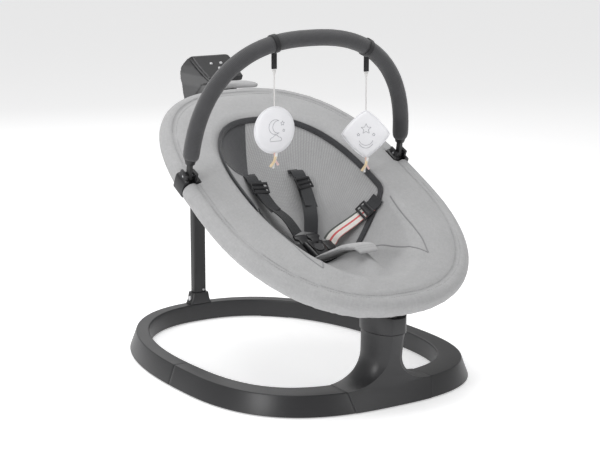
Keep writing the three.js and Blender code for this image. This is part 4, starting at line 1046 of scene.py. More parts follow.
def rim_profile(angle):
    """The cover from its lower edge, over the tube and across the rim, down to the bucket's lowest place."""
    outer, inner = HOOP.at(angle), PIPING.at(angle)
    length = (inner - outer).length
    inward = (inner - outer).normalized()
    control = RIM_CONTROL + [(length * share, h) for share, h in RIM_SHARES]
    line = [Vector((*(outer + inward * run), h)) for run, h in control]
    line += [bucket_point(angle, v) for v in (FIRST_V, 2.2 * FIRST_V)]
    curve = spline(line, RIM_STEPS)
    for i, point in enumerate(curve):
        run = (point.xy - outer).length
        fade = 1 - smooth_step(0.9, 1.0, i / RIM_STEPS)
        point.z += puckers(angle, run) * fade
    rest = [bucket_point(angle, 2.2 * FIRST_V + (1 - 2.2 * FIRST_V) * i / BUCKET_STEPS)
            for i in range(1, BUCKET_STEPS + 1)]
    return curve + rest


def cover_cutters():
    """Rooms round the toy bar's clamps, the front cradle and the rear hanger."""
    tools = []
    for sign in (1, -1):
        room = cube("clamp_room", (0.041, 0.034, 0.084), (sign * (BAR_HALF_WIDTH + 0.002), BAR_S, 0))
        tools.append(placed(room, SEAT))
    tools.append(placed(cube("cradle_room", (0.052, 0.085, 0.034), (0, -HOOP.front + 0.0555, -0.0285)), SEAT))
    tools.append(placed(cube("hanger_room", (0.044, 0.054, 0.040), (0, HOOP.rear - 0.007, -0.012)), SEAT))
    tool = tools[0]
    for other in tools[1:]:
        tool = joined("cover_rooms", tool, other)
    modify(tool, "BEVEL", width=0.004, segments=3)
    return tool


def make_cover():
    angles = [2 * math.pi * (k + 0.5) / COVER_ANGLES - math.pi / 2 for k in range(COVER_ANGLES)]
    rows = [[SEAT @ p for p in rim_profile(a)] for a in angles]
    cover = skin("seat_cover_fabric", rows, loop=True, ring=False)
    facing_out(cover, doubles=0.00002)
    up = sum((p.normal for p in cover.data.polygons if p.center.z < 0.25), Vector((0, 0, 0)))
    if up.z < 0:
        cover.data.flip_normals()
    modify(cover, "SOLIDIFY", thickness=0.0035, offset=-1)
    cut_out(cover, cover_cutters())
    shaded(cover, 60)
    dress(cover, MELANGE, "cover_fabric", "seat", "seat_cover")
    return cover


def rim_path(run, curves, count=900):
    """Places along the rim a fixed distance in from its outer edge, with their outward directions."""
    path, ups = [], []
    for i in range(count):
        angle = 2 * math.pi * i / count - math.pi / 2
        curve = curves[int(i * COVER_ANGLES / count) % COVER_ANGLES]
        outer, inner = HOOP.at(angle), PIPING.at(angle)
        inward = (inner - outer).normalized()
        height = min(curve, key=lambda p: abs(p[0] - run) + (1 if p[1] < 0 else 0))[1]
        path.append(seat_point(*(outer + inward * run), height))
        ups.append(seat_point(0, 0, 1) - seat_point(0, 0, 0))
    return path, ups


def make_rim_stitches():
    curves = []
    for k in range(COVER_ANGLES):
        angle = 2 * math.pi * (k + 0.5) / COVER_ANGLES - math.pi / 2
        outer = HOOP.at(angle)
        curves.append([((p.xy - outer).length, p.z) for p in rim_profile(angle)[:RIM_STEPS]])
    rows = []
    for run in (0.0195, 0.0275):
        path, ups = rim_path(run, curves)
        rows.append(stitches(f"rim_stitch_{len(rows)}", path + path[:1], ups + ups[:1],
                             0.0046, 0.0032, 0.00032))
    clear = joined("rim_stitching", *rows)
    with editing(clear):
        inverse = SEAT.inverted()

        def in_clamp(middle, normal):
            x, s, _ = inverse @ middle
            return abs(s - BAR_S) < 0.020 and abs(abs(x) - BAR_HALF_WIDTH) < 0.030

        choose(in_clamp)
        bpy.ops.mesh.delete(type="FACE")
    dress(clear, THREAD, "cover_fabric", "seat")


# ---------------------------------------------------------------- liner, binding and a dark sheet of painted shade
BINDING_CORNERS = [Vector((0.132, 0.000)), Vector((0.034, -0.080)), Vector((0.0, -0.088))]
LINER_ANGLES = 240
BINDING_TUCK = 0.022


def ray_share(angle, corners):
    """How far in from the piping a line of corners crosses the ray from the piping to the bucket's middle."""
    edge = PIPING.at(angle)
    middle = Vector((0, BUCKET_S))
    best = 0.0
    for a, b in zip(corners, corners[1:]):
        ray, span = middle - edge, b - a
        det = ray.x * span.y - ray.y * span.x
        if abs(det) < 1e-12:
            continue
        off = a - edge
        t = (off.x * span.y - off.y * span.x) / det
        u = (off.x * ray.y - off.y * ray.x) / det
        if 0 < t < 1 and -0.001 <= u <= 1.001:
            best = max(best, t)
    return best


def binding_shares():
    line = [Vector((-p.x, p.y)) for p in BINDING_CORNERS] + BINDING_CORNERS[-2::-1]
    angles = [2 * math.pi * k / LINER_ANGLES - math.pi / 2 for k in range(LINER_ANGLES)]
    shares = [max(BINDING_TUCK, ray_share(a, line)) for a in angles]
    for _ in range(3):
        shares = [(shares[k - 1] + 2 * shares[k] + shares[(k + 1) % LINER_ANGLES]) / 4
                  for k in range(LINER_ANGLES)]
    return angles, shares


def patch(name, angles, shares, steps, raise_by, to_middle=True, ends=None, loop=True):
    """A skin on the bucket between two shares of the way in, standing raise_by proud of the cover."""
    rows = []
    for k, (angle, share) in enumerate(zip(angles, shares)):
        reach = (1.0 if to_middle else ends[k]) - share
        rows.append([SEAT @ bucket_point(angle, share + reach * i / steps) for i in range(steps + 1)])
    obj = skin(name, rows, loop=loop, ring=False)
    facing_out(obj, doubles=0.00002)
    if sum((p.normal.z for p in obj.data.polygons)) < 0:
        obj.data.flip_normals()
    modify(obj, "SOLIDIFY", thickness=raise_by, offset=1)
    return shaded(obj, 60)


# The dark sheet on the near side of the head end is painted shade: it darkens that inner wall and has no
# partner on the other side.
SHADE_CORNER = Vector((-0.050, 0.150))
SHADE_FROM, SHADE_TO = math.radians(95), math.radians(152)


def make_liner():
    angles, shares = binding_shares()
    liner = patch("seat_liner", angles, shares, 40, 0.0014)
    dress(liner, LINER_MESH, "cover_fabric", "seat")

    line = [PIPING.at(SHADE_FROM), SHADE_CORNER, PIPING.at(SHADE_TO)]
    steps = 48
    shade_angles = [SHADE_FROM + (SHADE_TO - SHADE_FROM) * k / steps for k in range(steps + 1)]
    starts = [BINDING_TUCK] * (steps + 1)
    ends = [max(BINDING_TUCK + 0.004, ray_share(a, line)) for a in shade_angles]
    shade_sheet = patch("head_side_painted_shade", shade_angles, starts, 16, 0.0021, False, ends, loop=False)
    dress(shade_sheet, PAINTED_SHADE_CLOTH, "piping", "seat")

    path = [SEAT @ (bucket_point(a, v) + bucket_normal(a, v) * 0.0022) for a, v in zip(angles, shares)]
    turn = SEAT.to_3x3()
    ups = [turn @ bucket_normal(a, v) for a, v in zip(angles, shares)]
    binding = sweep("seat_binding", path, oval(0.0056, 0.0021, 14, 2.6), ups, closed=True)
    dress(shaded(binding, 60), TAPE, "piping", "seat", "seat_piping")
    for offset in (-0.0042, 0.0042):
        rows = []
        for i, point in enumerate(path):
            tangent = (path[(i + 1) % len(path)] - path[i - 1]).normalized()
            rows.append(point + tangent.cross(ups[i]).normalized() * offset + ups[i] * 0.0017)
        side = "inner" if offset < 0 else "outer"
        run = stitches(f"binding_stitch_{side}", rows + rows[:1], ups + ups[:1], 0.0042, 0.003, 0.00028)
        dress(run, DARK_THREAD, "piping", "seat")


LEG_SEAMS = [  # where the cover is tacked down beside each leg, for +X
    [(0.136, -0.016), (0.130, -0.060), (0.124, -0.107), (0.117, -0.149), (0.106, -0.182)],
    [(0.106, -0.182), (0.094, -0.160), (0.088, -0.126), (0.084, -0.088), (0.066, -0.070)],
]


def make_leg_seams(cover):
    tree = BVHTree.FromObject(cover, bpy.context.evaluated_depsgraph_get())
    up = (SEAT.to_3x3() @ Vector((0, 0, 1))).normalized()
    parts = []
    for sign in (1, -1):
        for places in LEG_SEAMS:
            path, ups = [], []
            for q in spline([Vector((sign * x, s)) for x, s in places], 70):
                spot, normal, _, _ = tree.ray_cast(seat_point(q.x, q.y, 0.1), -up)
                if spot:
                    path.append(spot + normal * 0.0002)
                    ups.append(normal)
            parts.append(sweep("seam", path, oval(0.0014, 0.0007, 10), ups))
    dress(shaded(joined("leg_hollow_seams", *parts), 180), THREAD, "cover_fabric", "seat")


# ---------------------------------------------------------------- harness
def over(x, s, lift):
    return Vector((x, s, bucket_height(x, s) + lift))


BUCKLE_H = bucket_height(0, BUCKLE_S) + BUCKLE_LIFT
BUCKLE_PLACE = SEAT @ Matrix.Translation((0, BUCKLE_S, BUCKLE_H))
SEAT_UP = (SEAT.to_3x3() @ Vector((0, 0, 1))).normalized()


def strap(name, places, finish, slot, node, width=WEB_WIDTH, twist=0.0, count=60):
    """Webbing along places in the seat's axes, its face turned from the seat's normal by twist."""
    path = [SEAT @ p for p in spline(places, count)]
    half = WEB_THICKNESS / 2
    section = [Vector((share * width / 2, height)) for share, height in (
        (1, 0.0002), (0.97, half), (0.5, half), (0, half), (-0.5, half), (-0.97, half),
        (-1, 0.0002), (-0.97, -half), (0, -half), (0.97, -half))]
    rows = []
    for i, point in enumerate(path):
        tangent = (path[min(i + 1, count - 1)] - path[max(i - 1, 0)]).normalized()
        lean = Matrix.Rotation(twist * math.sin(math.pi * i / (count - 1)), 3, tangent)
        side = lean @ tangent.cross(SEAT_UP).normalized()
        up = side.cross(tangent)
        rows.append([point + side * q.x + up * q.y for q in section])
    web = skin(name, rows, middle=False)
    layer = web.data.uv_layers.active
    for loop in web.data.loops:
        row = loop.vertex_index // len(section)
        point, middle_point = web.data.vertices[loop.vertex_index].co, path[row]
        ahead = (path[min(row + 1, count - 1)] - path[max(row - 1, 0)]).normalized()
        side = ahead.cross(SEAT_UP).normalized()
        layer.data[loop.index].uv = ((point - middle_point).dot(side), layer.data[loop.index].uv[1])
    shaded(web, 50)
    nodes = (node,) if node else ()
    return dress(web, finish, slot, "seat", *nodes)


def ladder_slider(name, centre, turn, node, tilt=0.0):
    """A plate with two slots and a ribbed bar between them: the grid's slot faces are taken out."""
    bpy.ops.object.select_all(action="DESELECT")
    bpy.ops.mesh.primitive_grid_add(x_subdivisions=5, y_subdivisions=5, size=1)
    plate = added(name)
    width, length = WEB_WIDTH + 0.008, 0.023
    for vertex in plate.data.vertices:
        vertex.co.x *= width * (1.0 if abs(vertex.co.x) > 0.4 else 1.42)
        vertex.co.y *= length
    with editing(plate):
        choose(lambda middle, normal: abs(middle.x) < width * 0.43 and
               length * 0.12 < abs(middle.y) < length * 0.28)
        bpy.ops.mesh.delete(type="FACE")
    modify(plate, "SOLIDIFY", thickness=0.0034, offset=0)
    soften(plate, 0.0011, 3)
    lift = Matrix.Translation(centre) @ Matrix.Rotation(turn, 4, "Z") @ Matrix.Rotation(tilt, 4, "X")
    placed(plate, SEAT @ lift)
    return dress(plate, BUCKLE, "buckle", "seat", node)


def make_buckle():
    low, high = Vector((-0.023, -0.024, -0.0075)), Vector((0.023, 0.024, 0.0075))
    body = cube("buckle_housing", high - low)
    with editing(body):
        choose(lambda middle, normal: normal.y < -0.9)
        resize((0.72, 1, 0.8), (0, low.y, 0))
        choose(lambda middle, normal: normal.z > 0.9)
        resize((0.86, 0.9, 1), (0, 0, high.z))
    modify(body, "BEVEL", width=0.0045, segments=4, limit_method="ANGLE")
    with editing(body):
        choose(lambda middle, normal: normal.z > 0.95)
        inset(0.0022)
        inset(0.0008, -0.0009)
    well = cylinder("button_well", 0.0102, 0.02, (0, 0, 0.009))
    slots = [cube("tongue_slot", (0.0175, 0.014, 0.0052), (sign * 0.012, 0.020, -0.001)) for sign in (1, -1)]
    cut_out(body, well, *slots)
    soften(body, 0.0005, 2)
    dress(placed(body, BUCKLE_PLACE), BUCKLE, "buckle", "seat", "buckle_body")

    button = cylinder("buckle_push_button", 0.0097, 0.0072, (0, 0, 0.0054))
    with editing(button):
        choose(lambda middle, normal: normal.z > 0.9)
        inset(0.0012)
        inset(0.0006, -0.0005)
        inset(0.0035, 0.0004)
    soften(button, 0.0004, 2, 25)
    dress(placed(button, BUCKLE_PLACE), TRIM, "shell_trim", "buckle_button", "buckle_button")

    for side, sign in (("left", 1), ("right", -1)):
        tongue = cube(f"tongue_{side}", (0.016, 0.017, 0.004), (sign * 0.012, 0.0235, -0.001))
        with editing(tongue):
            choose(lambda middle, normal: normal.y > 0.9)
            extrude((sign * 0.001, 0.004, 0))
            resize((1.55, 1, 1.3), (sign * 0.013, 0.036, -0.001))
            extrude((0, 0.010, 0))
            resize((0.96, 1, 0.8), (sign * 0.013, 0.046, -0.001))
        soften(tongue, 0.0009, 3)
        dress(placed(tongue, BUCKLE_PLACE), BUCKLE, "buckle", "seat", f"buckle_tongue_{side}")
        ear = cube(f"waist_ear_{side}", (0.012, 0.024, 0.0055), (sign * 0.0275, 0.010, -0.001))
        with editing(ear):
            choose(lambda middle, normal: normal.x * sign > 0.9)
            extrude((sign * 0.006, 0.003, 0))
            resize((1, 0.9, 0.7), (sign * 0.0395, 0.013, -0.001))
        soften(ear, 0.0012, 3)
        dress(placed(ear, BUCKLE_PLACE), BUCKLE, "buckle", "seat")


def make_harness():
    make_buckle()
    for side, sign in (("left", 1), ("right", -1)):
        chest = [over(sign * 50e-3, 0.150, 0.004), over(sign * 49e-3, 0.138, 0.012),
                 over(sign * 44e-3, 0.092, 0.018), over(sign * 26e-3, 0.044, 0.030),
                 Vector((sign * 0.014, BUCKLE_S + 0.049, BUCKLE_H + 0.001))]
        strap(f"shoulder_web_{side}", chest, WEBBING, "webbing", f"shoulder_strap_{side}", twist=sign * 0.25)
        tail = [over(sign * 48e-3, 0.128, 0.0185), over(sign * 46e-3, 0.106, 0.0215),
                over(sign * 41e-3, 0.078, 0.0245), over(sign * 37e-3, 0.062, 0.0275)]
        strap(f"shoulder_tail_{side}", tail, WEBBING, "webbing", None, WEB_WIDTH * 0.94, count=24)
        rise = bucket_height(sign * 46e-3, 0.124) - bucket_height(sign * 46e-3, 0.100)
        ladder_slider(f"shoulder_slider_{side}", over(sign * 46e-3, 0.112, 0.0228), 0.1 * sign,
                      f"shoulder_adjuster_{side}", tilt=math.atan2(rise, 0.024))
        waist = [over(sign * 112e-3, -0.006, 0.009), over(sign * 84e-3, -0.004, 0.014),
                 over(sign * 50e-3, -0.008, 0.020),
                 Vector((sign * 0.037, BUCKLE_S + 0.020, BUCKLE_H - 0.001))]
        finish, slot = (STRIPED, "webbing_striped") if side == "left" else (WEBBING, "webbing")
        strap(f"waist_web_{side}", waist, finish, slot, f"waist_strap_{side}")
        anchor = [over(sign * 121e-3, -0.005, 0.012), over(sign * 112e-3, -0.006, 0.0125),
                  over(sign * 98e-3, -0.005, 0.0165)]
        strap(f"waist_anchor_{side}", anchor, WEBBING, "webbing", None, WEB_WIDTH * 1.02, count=16)
        rise = bucket_height(sign * 0.108, -0.005) - bucket_height(sign * 0.092, -0.005)
        ladder_slider(f"waist_slider_{side}", over(sign * 100e-3, -0.005, 0.0165), math.pi / 2 + 0.05 * sign,
                      f"waist_adjuster_{side}", tilt=-sign * math.atan2(rise, 0.016))
        slot_mark = cube(f"strap_slot_{side}", (0.031, 0.0075, 0.0022))
        soften(slot_mark, 0.0008, 2)
        at = over(sign * 50e-3, 0.150, 0.0022)
        slope = math.atan2(bucket_height(at.x, 0.155) - bucket_height(at.x, 0.145), 0.010)
        placed(slot_mark, SEAT @ Matrix.Translation(at) @ Matrix.Rotation(slope, 4, "X"))
        dress(slot_mark, TAPE, "piping", "seat")


# ---------------------------------------------------------------- padded pieces
def make_crotch_pad():
    rows = []
    for s, half, lift, thick in ((-0.160, 0.020, 0.0085, 0.006), (-0.140, 0.024, 0.0095, 0.008),
                                 (-0.116, 0.030, 0.0120, 0.009), (-0.092, 0.037, 0.0160, 0.009),
                                 (-0.070, 0.042, 0.0165, 0.007)):
        h = bucket_height(0, s) + lift
        rows.append([seat_point(q.x, s, h + q.y) for q in oval(half, thick / 2, 24, 3.2)])
    fine = []
    for i in range(31):
        t = i / 30 * (len(rows) - 1)
        k = min(int(t), len(rows) - 2)
        fine.append([a.lerp(b, t - k) for a, b in zip(rows[k], rows[k + 1])])
    pad = puff(skin("crotch_pad_cushion", fine), 0.003, 3.0, 0.0022)
    dress(pad, MELANGE_PADDING, "cover_fabric", "seat", "crotch_pad")
    tree = BVHTree.FromObject(pad, bpy.context.evaluated_depsgraph_get())
    runs = []
    for k, s in enumerate((-0.150, -0.144)):
        path, ups = [], []
        for i in range(41):
            x = 0.020 * (i / 20 - 1)
            place, normal, _, _ = tree.ray_cast(seat_point(x, s, 0.1), -SEAT_UP)
            if place:
                path.append(place)
                ups.append(normal)
        runs.append(stitches(f"pad_stitch_{k}", path, ups, 0.0034, 0.0024, 0.0003))
    dress(joined("crotch_pad_stitching", *runs), THREAD, "cover_fabric", "seat")


def make_head_tab():
    half_length, steps = 0.0565, 24
    rows = []
    for i in range(steps + 1):
        f = 2 * i / steps - 1
        x = f * half_length
        edge = HOOP.at(math.acos(min(0.999, x / HOOP.half_width)))
        half = 0.0098 * (1 - abs(f) ** 5) ** 0.5 + 0.0012
        rows.append([seat_point(x, edge.y + 0.003 + q.x, 0.0152 + q.y) for q in oval(half, 0.0042, 20, 2.6)])
    tab = puff(skin("head_tab_pad", rows), 0.0028, 3.0, 0.0018)
    dress(tab, MELANGE_PADDING, "cover_fabric", "seat", "head_tab")


# ---------------------------------------------------------------- toy bar
def make_toy_bar():
    angles = [math.pi * i / 400 for i in range(401)]
    arch = [bar_point(a) for a in angles]
    crown = [p for p in arch if (p - BAR_BASE).dot(BAR_UP) > SLEEVE_START]
    line = evenly([leg_point(1, SLEEVE_START)] + crown + [leg_point(-1, SLEEVE_START)], 150, closed=False)
    scales = []
    for i in range(150):
        end = min(i, 149 - i)
        wrinkle = noise.noise(Vector((i * 0.55, 3, 1))) * 0.012
        scales.append((0.985 + wrinkle) * (1 if end > 2 else (0.80, 0.93, 0.98)[end]))
    sleeve = sweep("toy_bar_foam_sleeve", line, oval(BAR_RADIUS, BAR_RADIUS, 30),
                   BAR_UP.cross(Vector((1, 0, 0))), scales=scales)
    soften(sleeve, 0.0012, 3, 60)
    dress(sleeve, SLEEVE, "sleeve", "toy_bar", "toy_bar_sleeve")
    inner_side = [p - (p - BAR_BASE - BAR_UP * 0.06).normalized() * (BAR_RADIUS * 0.985) for p in line]
    ups = [-(p - BAR_BASE - BAR_UP * 0.06).normalized() for p in line]
    run = stitches("sleeve_seam", inner_side, ups, 0.0042, 0.0032, 0.0003, 0.0)
    dress(run, DARK_THREAD, "sleeve", "toy_bar")
    rod = cad_copy("toy_bar_rod", "toy_bar_inner_rod", 0.0002, shade=50)
    dress(rod, HOOP_PAINT, "steel", "toy_bar", "toy_bar_rod")
    for side, sign in (("left", 1), ("right", -1)):
        cap = cylinder(f"sleeve_end_cap_{side}", 0.0108, 0.011, (0, 0, 0), sides=40)
        with editing(cap):
            choose(lambda middle, normal: normal.z < -0.9)
            resize((0.72, 0.72, 1), (0, 0, -0.0055))
        soften(cap, 0.0012, 3)
        turn = BAR_UP.to_track_quat("Z", "Y").to_matrix().to_4x4()
        placed(cap, Matrix.Translation(leg_point(sign, SLEEVE_START - 0.003)) @ turn)
        dress(cap, BUCKLE, "buckle", "toy_bar")
        clamp = cad_copy(f"toy_bar_clamp_{side}", f"bar_clamp_moulding_{side}", 0.0014)
        dress(clamp, BUCKLE, "buckle", "seat", f"toy_bar_clamp_{side}")
        pin = cad_copy(f"toy_bar_pin_{side}", f"bar_pin_turned_{side}", 0.0003, 2)
        dress(pin, STEEL, "steel", "seat", f"toy_bar_pin_{side}")


# ---------------------------------------------------------------- toys
TOY_HALF_DEPTH = 0.0055
ROUND_RADIUS = 0.0400
DIAMOND_HALF = 0.0425
DIAMOND_POWER = 1.2
TOY_TURNS = {"round": 0.0, "diamond": math.radians(-30)}


def toy_outline(kind, count=72):
    points = []
    for i in range(count):
        a = 2 * math.pi * i / count
        if kind == "round":
            r = ROUND_RADIUS
        else:
            sum_of_powers = abs(math.cos(a)) ** DIAMOND_POWER + abs(math.sin(a)) ** DIAMOND_POWER
            r = DIAMOND_HALF / sum_of_powers ** (1 / DIAMOND_POWER)
        points.append(Vector((r * math.cos(a), r * math.sin(a))))
    return points


def star(x, z, size):
    line = []
    for k in range(11):
        a = math.pi / 2 + math.pi * k / 5
        r = size * (1 if k % 2 == 0 else 0.45)
        line.append(Vector((x + r * math.cos(a), z + r * math.sin(a))))
    return line


def arc(x, z, radius, start, stop, steps=18):
    angles = [math.radians(start + (stop - start) * k / steps) for k in range(steps + 1)]
    return [Vector((x + radius * math.cos(a), z + radius * math.sin(a))) for a in angles]


def cloud(x, z, size):
    bumps = (arc(x - size * 0.55, z, size * 0.35, 200, 80) + arc(x, z + size * 0.22, size * 0.45, 150, 30)
             + arc(x + size * 0.6, z, size * 0.34, 100, -20))
    return bumps + [Vector((x + side * size * 0.85, z - size * 0.18)) for side in (1, -1)]


TOY_ART = {
    "round": [arc(-0.002, 0.006, 0.0125, 60, 300, 26), arc(0.0035, 0.006, 0.0105, 78, 282, 24),
              star(0.0125, 0.0115, 0.0042), star(0.015, -0.001, 0.0028), cloud(-0.001, -0.016, 0.0125)],
    "diamond": [star(0.0, 0.010, 0.0095), arc(0.0, -0.006, 0.013, 200, 340),
                arc(0.0, -0.011, 0.013, 205, 335), star(-0.0135, 0.0, 0.0030),
                star(0.0135, 0.0, 0.0030)],
}


def draw_on(name, lines, place, face):
    """Thin raised print on a toy's front: each line is laid on the surface in front of it."""
    tree = BVHTree.FromObject(face, bpy.context.evaluated_depsgraph_get())
    into = place.to_3x3() @ Vector((0, 1, 0))
    parts = []
    for k, line in enumerate(lines):
        total = sum((b - a).length for a, b in zip(line, line[1:]))
        path, ups = [], []
        for q in evenly(line, max(8, int(total / 0.0011)), closed=False):
            spot, normal, _, _ = tree.ray_cast(place @ Vector((q.x, -0.05, q.y)), into)
            if spot:
                path.append(spot + normal * 0.00012)
                ups.append(normal)
        parts.append(sweep(f"{name}_{k}", path, oval(0.00042, 0.00018, 6), ups))
    return shaded(joined(name, *parts), 180)


def make_toy(side, kind, node):
    body = f"toy_{side}"
    _, tab = toy_hang(side)
    low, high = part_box(node)
    centre = (low + high) / 2
    place = Matrix.Translation(centre) @ Matrix.Rotation(TOY_TURNS[kind], 4, "Z")
    outline = toy_outline(kind)
    layers = ((0.55, -1), (0.9, -0.85), (1, -0.25), (1, 0.25), (0.9, 0.85), (0.55, 1))
    rows = [[place @ Vector((q.x * scale, y * TOY_HALF_DEPTH, q.y * scale)) for q in outline]
            for scale, y in layers]
    toy = puff(skin(f"{kind}_toy_plush", rows), 0.003, 4.0, 0.0022)
    dress(toy, PLUSH, "toy_fabric", body, node)
    rim = [place @ Vector((q.x * 0.995, 0, q.y * 0.995)) for q in outline]
    facing = place.to_3x3() @ Vector((0, 1, 0))
    edge = sweep(f"{kind}_toy_seam", rim, oval(0.0009, 0.0009, 8), facing, closed=True)
    dress(shaded(edge, 180), PLUSH, "toy_fabric", body)
    dress(draw_on(f"{kind}_toy_print", TOY_ART[kind], place, toy), INK, "toy_fabric", body)

    cap = cylinder(f"{kind}_cord_cap", 0.0042, 0.009, tab - Vector((0, 0, 0.0058)), sides=24)
    with editing(cap):
        choose(lambda middle, normal: normal.z < -0.9)
        resize((0.34, 0.34, 1), tab - Vector((0, 0, 0.0103)))
        bpy.ops.mesh.select_all(action="SELECT")
        resize((1, 0.55, 1), tab)
    soften(cap, 0.0007, 2)
    dress(cap, CORD, "toy_fabric", body)
    foot = low.z + 0.0015
    for k, (finish, lean, length) in enumerate(zip(RIBBONS, (-0.34, 0.05, 0.30), (0.024, 0.027, 0.022))):
        path = []
        for i in range(13):
            t = i / 12
            sway = 0.0022 * math.sin(3 * t + k * 2)
            drop = 0.001 + 0.0028 * math.sin(4 * t + k)
            path.append(Vector((centre.x + lean * length * t + sway, centre.y - drop, foot - length * t)))
        facing = Vector((0.3 * (k - 1), -1, 0))
        tail = sweep(f"{kind}_ribbon_{k}", path, oval(0.0024, 0.00028, 10, 3.0), facing)
        dress(shaded(tail, 60), finish, "toy_fabric", body)


def make_toy_loop(side):
    """Webbing that goes round the sleeve and down to the cord, doubled and sewn below the bar."""
    hold, tab = toy_hang(side)
    angle = TOY_ANGLES[side]
    tangent = (bar_point(angle + 0.01) - hold).normalized()
    radius = BAR_RADIUS + 0.0012
    down = (Vector((0, 0, -1)) - tangent * -tangent.z).normalized()
    side_way = tangent.cross(down)
    rows = []
    for i in range(64):
        a = 2 * math.pi * i / 64
        centre = hold + down * (radius * math.cos(a)) + side_way * (radius * math.sin(a))
        out = (centre - hold).normalized()
        rows.append([centre + tangent * q.x + out * q.y for q in oval(0.005, 0.0005, 10, 5.0)])
    band = shaded(skin(f"toy_loop_band_{side}", rows, loop=True), 60)
    top = hold.z - radius
    length = top - tab.z
    strap_end = cube("tab", (0.010, 0.0032, length), (hold.x, hold.y, tab.z + length / 2))
    soften(strap_end, 0.0009, 3)
    loop = joined(f"toy_loop_webbing_{side}", band, strap_end)
    dress(loop, LOOP_WEB, "webbing", f"toy_loop_{side}", f"toy_loop_{side}")
    runs = []
    for k, z in enumerate((tab.z + 0.005, tab.z + 0.0075)):
        for y in (-0.0017, 0.0017):
            path = [Vector((hold.x + 0.0042 * (i / 10 - 1), hold.y + y, z)) for i in range(21)]
            ups = [Vector((0, 1 if y > 0 else -1, 0))] * 21
            runs.append(stitches(f"run_{k}", path, ups, 0.0021, 0.0015, 0.00022, 0.0))
    dress(joined(f"toy_loop_stitching_{side}", *runs), DARK_THREAD, "webbing", f"toy_loop_{side}")


# ---------------------------------------------------------------- hoop and carried-over nodes
def make_hoop():
    inset_line = Egg(HOOP.half_width - TUBE_INSET, HOOP.front - TUBE_INSET, HOOP.rear - TUBE_INSET,
                     2.28, 2.65)
    path = [SEAT @ Vector((*p, 0)) for p in inset_line.even(150)]
    radius = TUBE_RADIUS * 0.985
    hoop = sweep("seat_hoop_tube", path, oval(radius, radius, 16), SEAT_UP, closed=True)
    dress(shaded(hoop, 60), HOOP_PAINT, "hoop", "seat", "seat_hoop")


def make_buttons():
    back = COLUMN_Y + COLUMN_HALF_Y
    button = cylinder("power_button_cap", 0.0082, 0.0075, (0, back - 0.00225, 0.096), (math.pi / 2, 0, 0))
    with editing(button):
        choose(lambda middle, normal: normal.y > 0.9)
        inset(0.0012)
        inset(0.0005, -0.0004)
    soften(button, 0.0004, 2, 25)
    dress(button, TRIM, "shell_trim", "power_button", "power_button")
    low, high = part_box("post_lock_button")
    size, centre = high - low, (low + high) / 2
    lock = cylinder("post_lock_cap", size.z / 2, size.x, centre, (0, math.pi / 2, 0))
    with editing(lock):
        choose(lambda middle, normal: normal.x < -0.9)
        inset(0.0010)
        inset(0.0005, -0.0004)
    soften(lock, 0.0005, 2, 25)
    dress(lock, SCREW, "shell_trim", "post_lock_button", "post_lock_button")


SMOOTHED = {  # carried-over mouldings: node, rounding, material and slot
    "front_cradle": (0.0015, SHELL, "shell"), "seat_hanger": (0.0015, SHELL, "shell"),
    "bottom_cover": (0.0005, SHELL, "shell"), "power_inlet": (0.0003, BUCKLE, "buckle"),
    "front_pivot_shaft": (0.0004, STEEL, "steel"), "rear_pivot_shaft": (0.0004, STEEL, "steel"),
    "foot_front_left": (0.0008, RUBBER, "rubber"), "foot_front_right": (0.0008, RUBBER, "rubber"),
    "foot_rear_left": (0.0008, RUBBER, "rubber"), "foot_rear_right": (0.0008, RUBBER, "rubber"),
}
CARRIED = {  # nodes that keep their own shape: material
    "control_board": BOARD, "speaker": BUCKLE, "drive_coil": COPPER, "coil_bracket": TRIM,
    "magnet_lever": TRIM, "drive_magnet": STEEL, "front_bush_outer": BUSH, "front_bush_inner": BUSH,
    "rear_bush": BUSH,
}


def make_carried():
    for node, (width, finish, slot) in SMOOTHED.items():
        dress(cad_copy(node, f"{node}_moulding", width), finish, slot, body_of(node), node)
    for node, finish in CARRIED.items():
        mesh = frame["nodes"][node].data
        mesh.materials.clear()
        mesh.materials.append(finish)


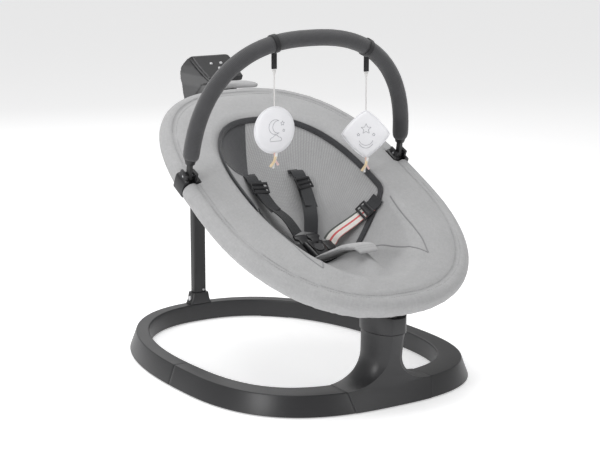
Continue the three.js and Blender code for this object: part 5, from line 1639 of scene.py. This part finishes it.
# ---------------------------------------------------------------- studio
def make_studio():
    bpy.ops.object.select_all(action="DESELECT")
    bpy.ops.mesh.primitive_plane_add(size=40, location=(0, 0, -0.0005))
    floor = added("floor")
    finish = Finish("pale_floor", Roughness=0.9, Specular_IOR_Level=0.1)
    finish.set(Emission_Color=(1.0, 1.0, 1.0, 1.0), Emission_Strength=0.42)
    floor.data.materials.append(finish.set(Base_Color=(0.90, 0.90, 0.905, 1.0)))
    world = bpy.data.worlds.new("studio") if bpy.context.scene.world is None else bpy.context.scene.world
    bpy.context.scene.world = world
    world.use_nodes = True
    tree = world.node_tree
    room = tree.nodes["Background"]
    room.inputs["Color"].default_value = (1.0, 1.0, 1.0, 1.0)
    room.inputs["Strength"].default_value = 0.42
    backdrop = tree.nodes.new("ShaderNodeBackground")
    backdrop.inputs["Strength"].default_value = 1.0
    backdrop.inputs["Color"].default_value = (1.0, 1.0, 1.0, 1.0)
    path, choice = tree.nodes.new("ShaderNodeLightPath"), tree.nodes.new("ShaderNodeMixShader")
    tree.links.new(path.outputs["Is Camera Ray"], choice.inputs[0])
    tree.links.new(room.outputs[0], choice.inputs[1])
    tree.links.new(backdrop.outputs[0], choice.inputs[2])
    tree.links.new(choice.outputs[0], tree.nodes["World Output"].inputs["Surface"])
    target = Vector((0, 0, 0.25))
    for name, place, size, power in (
        ("overhead", (-0.2, 0.1, 2.4), 1.6, 36), ("front_left", (-2.2, -0.6, 0.9), 0.6, 16),
        ("front_right", (0.9, -2.4, 0.9), 1.0, 7), ("behind", (0.8, 2.4, 1.6), 1.6, 8)):
        light = bpy.data.lights.new(name, "AREA")
        light.size, light.energy = size, power
        lamp = bpy.data.objects.new(name, light)
        bpy.context.scene.collection.objects.link(lamp)
        lamp.location = place
        lamp.rotation_mode = "QUATERNION"
        lamp.rotation_quaternion = (target - lamp.location).to_track_quat("-Z", "Y")
    bpy.context.scene.view_settings.view_transform = "Standard"


make_studio()
make_ring()
make_pedestal()
make_post()
make_head_screws()
make_hoop()
make_leg_seams(make_cover())
make_rim_stitches()
make_liner()
make_harness()
make_crotch_pad()
make_head_tab()
make_toy_bar()
make_toy("right", "round", "round_toy")
make_toy("left", "diamond", "diamond_toy")
make_toy_loop("left")
make_toy_loop("right")
make_buttons()
make_carried()
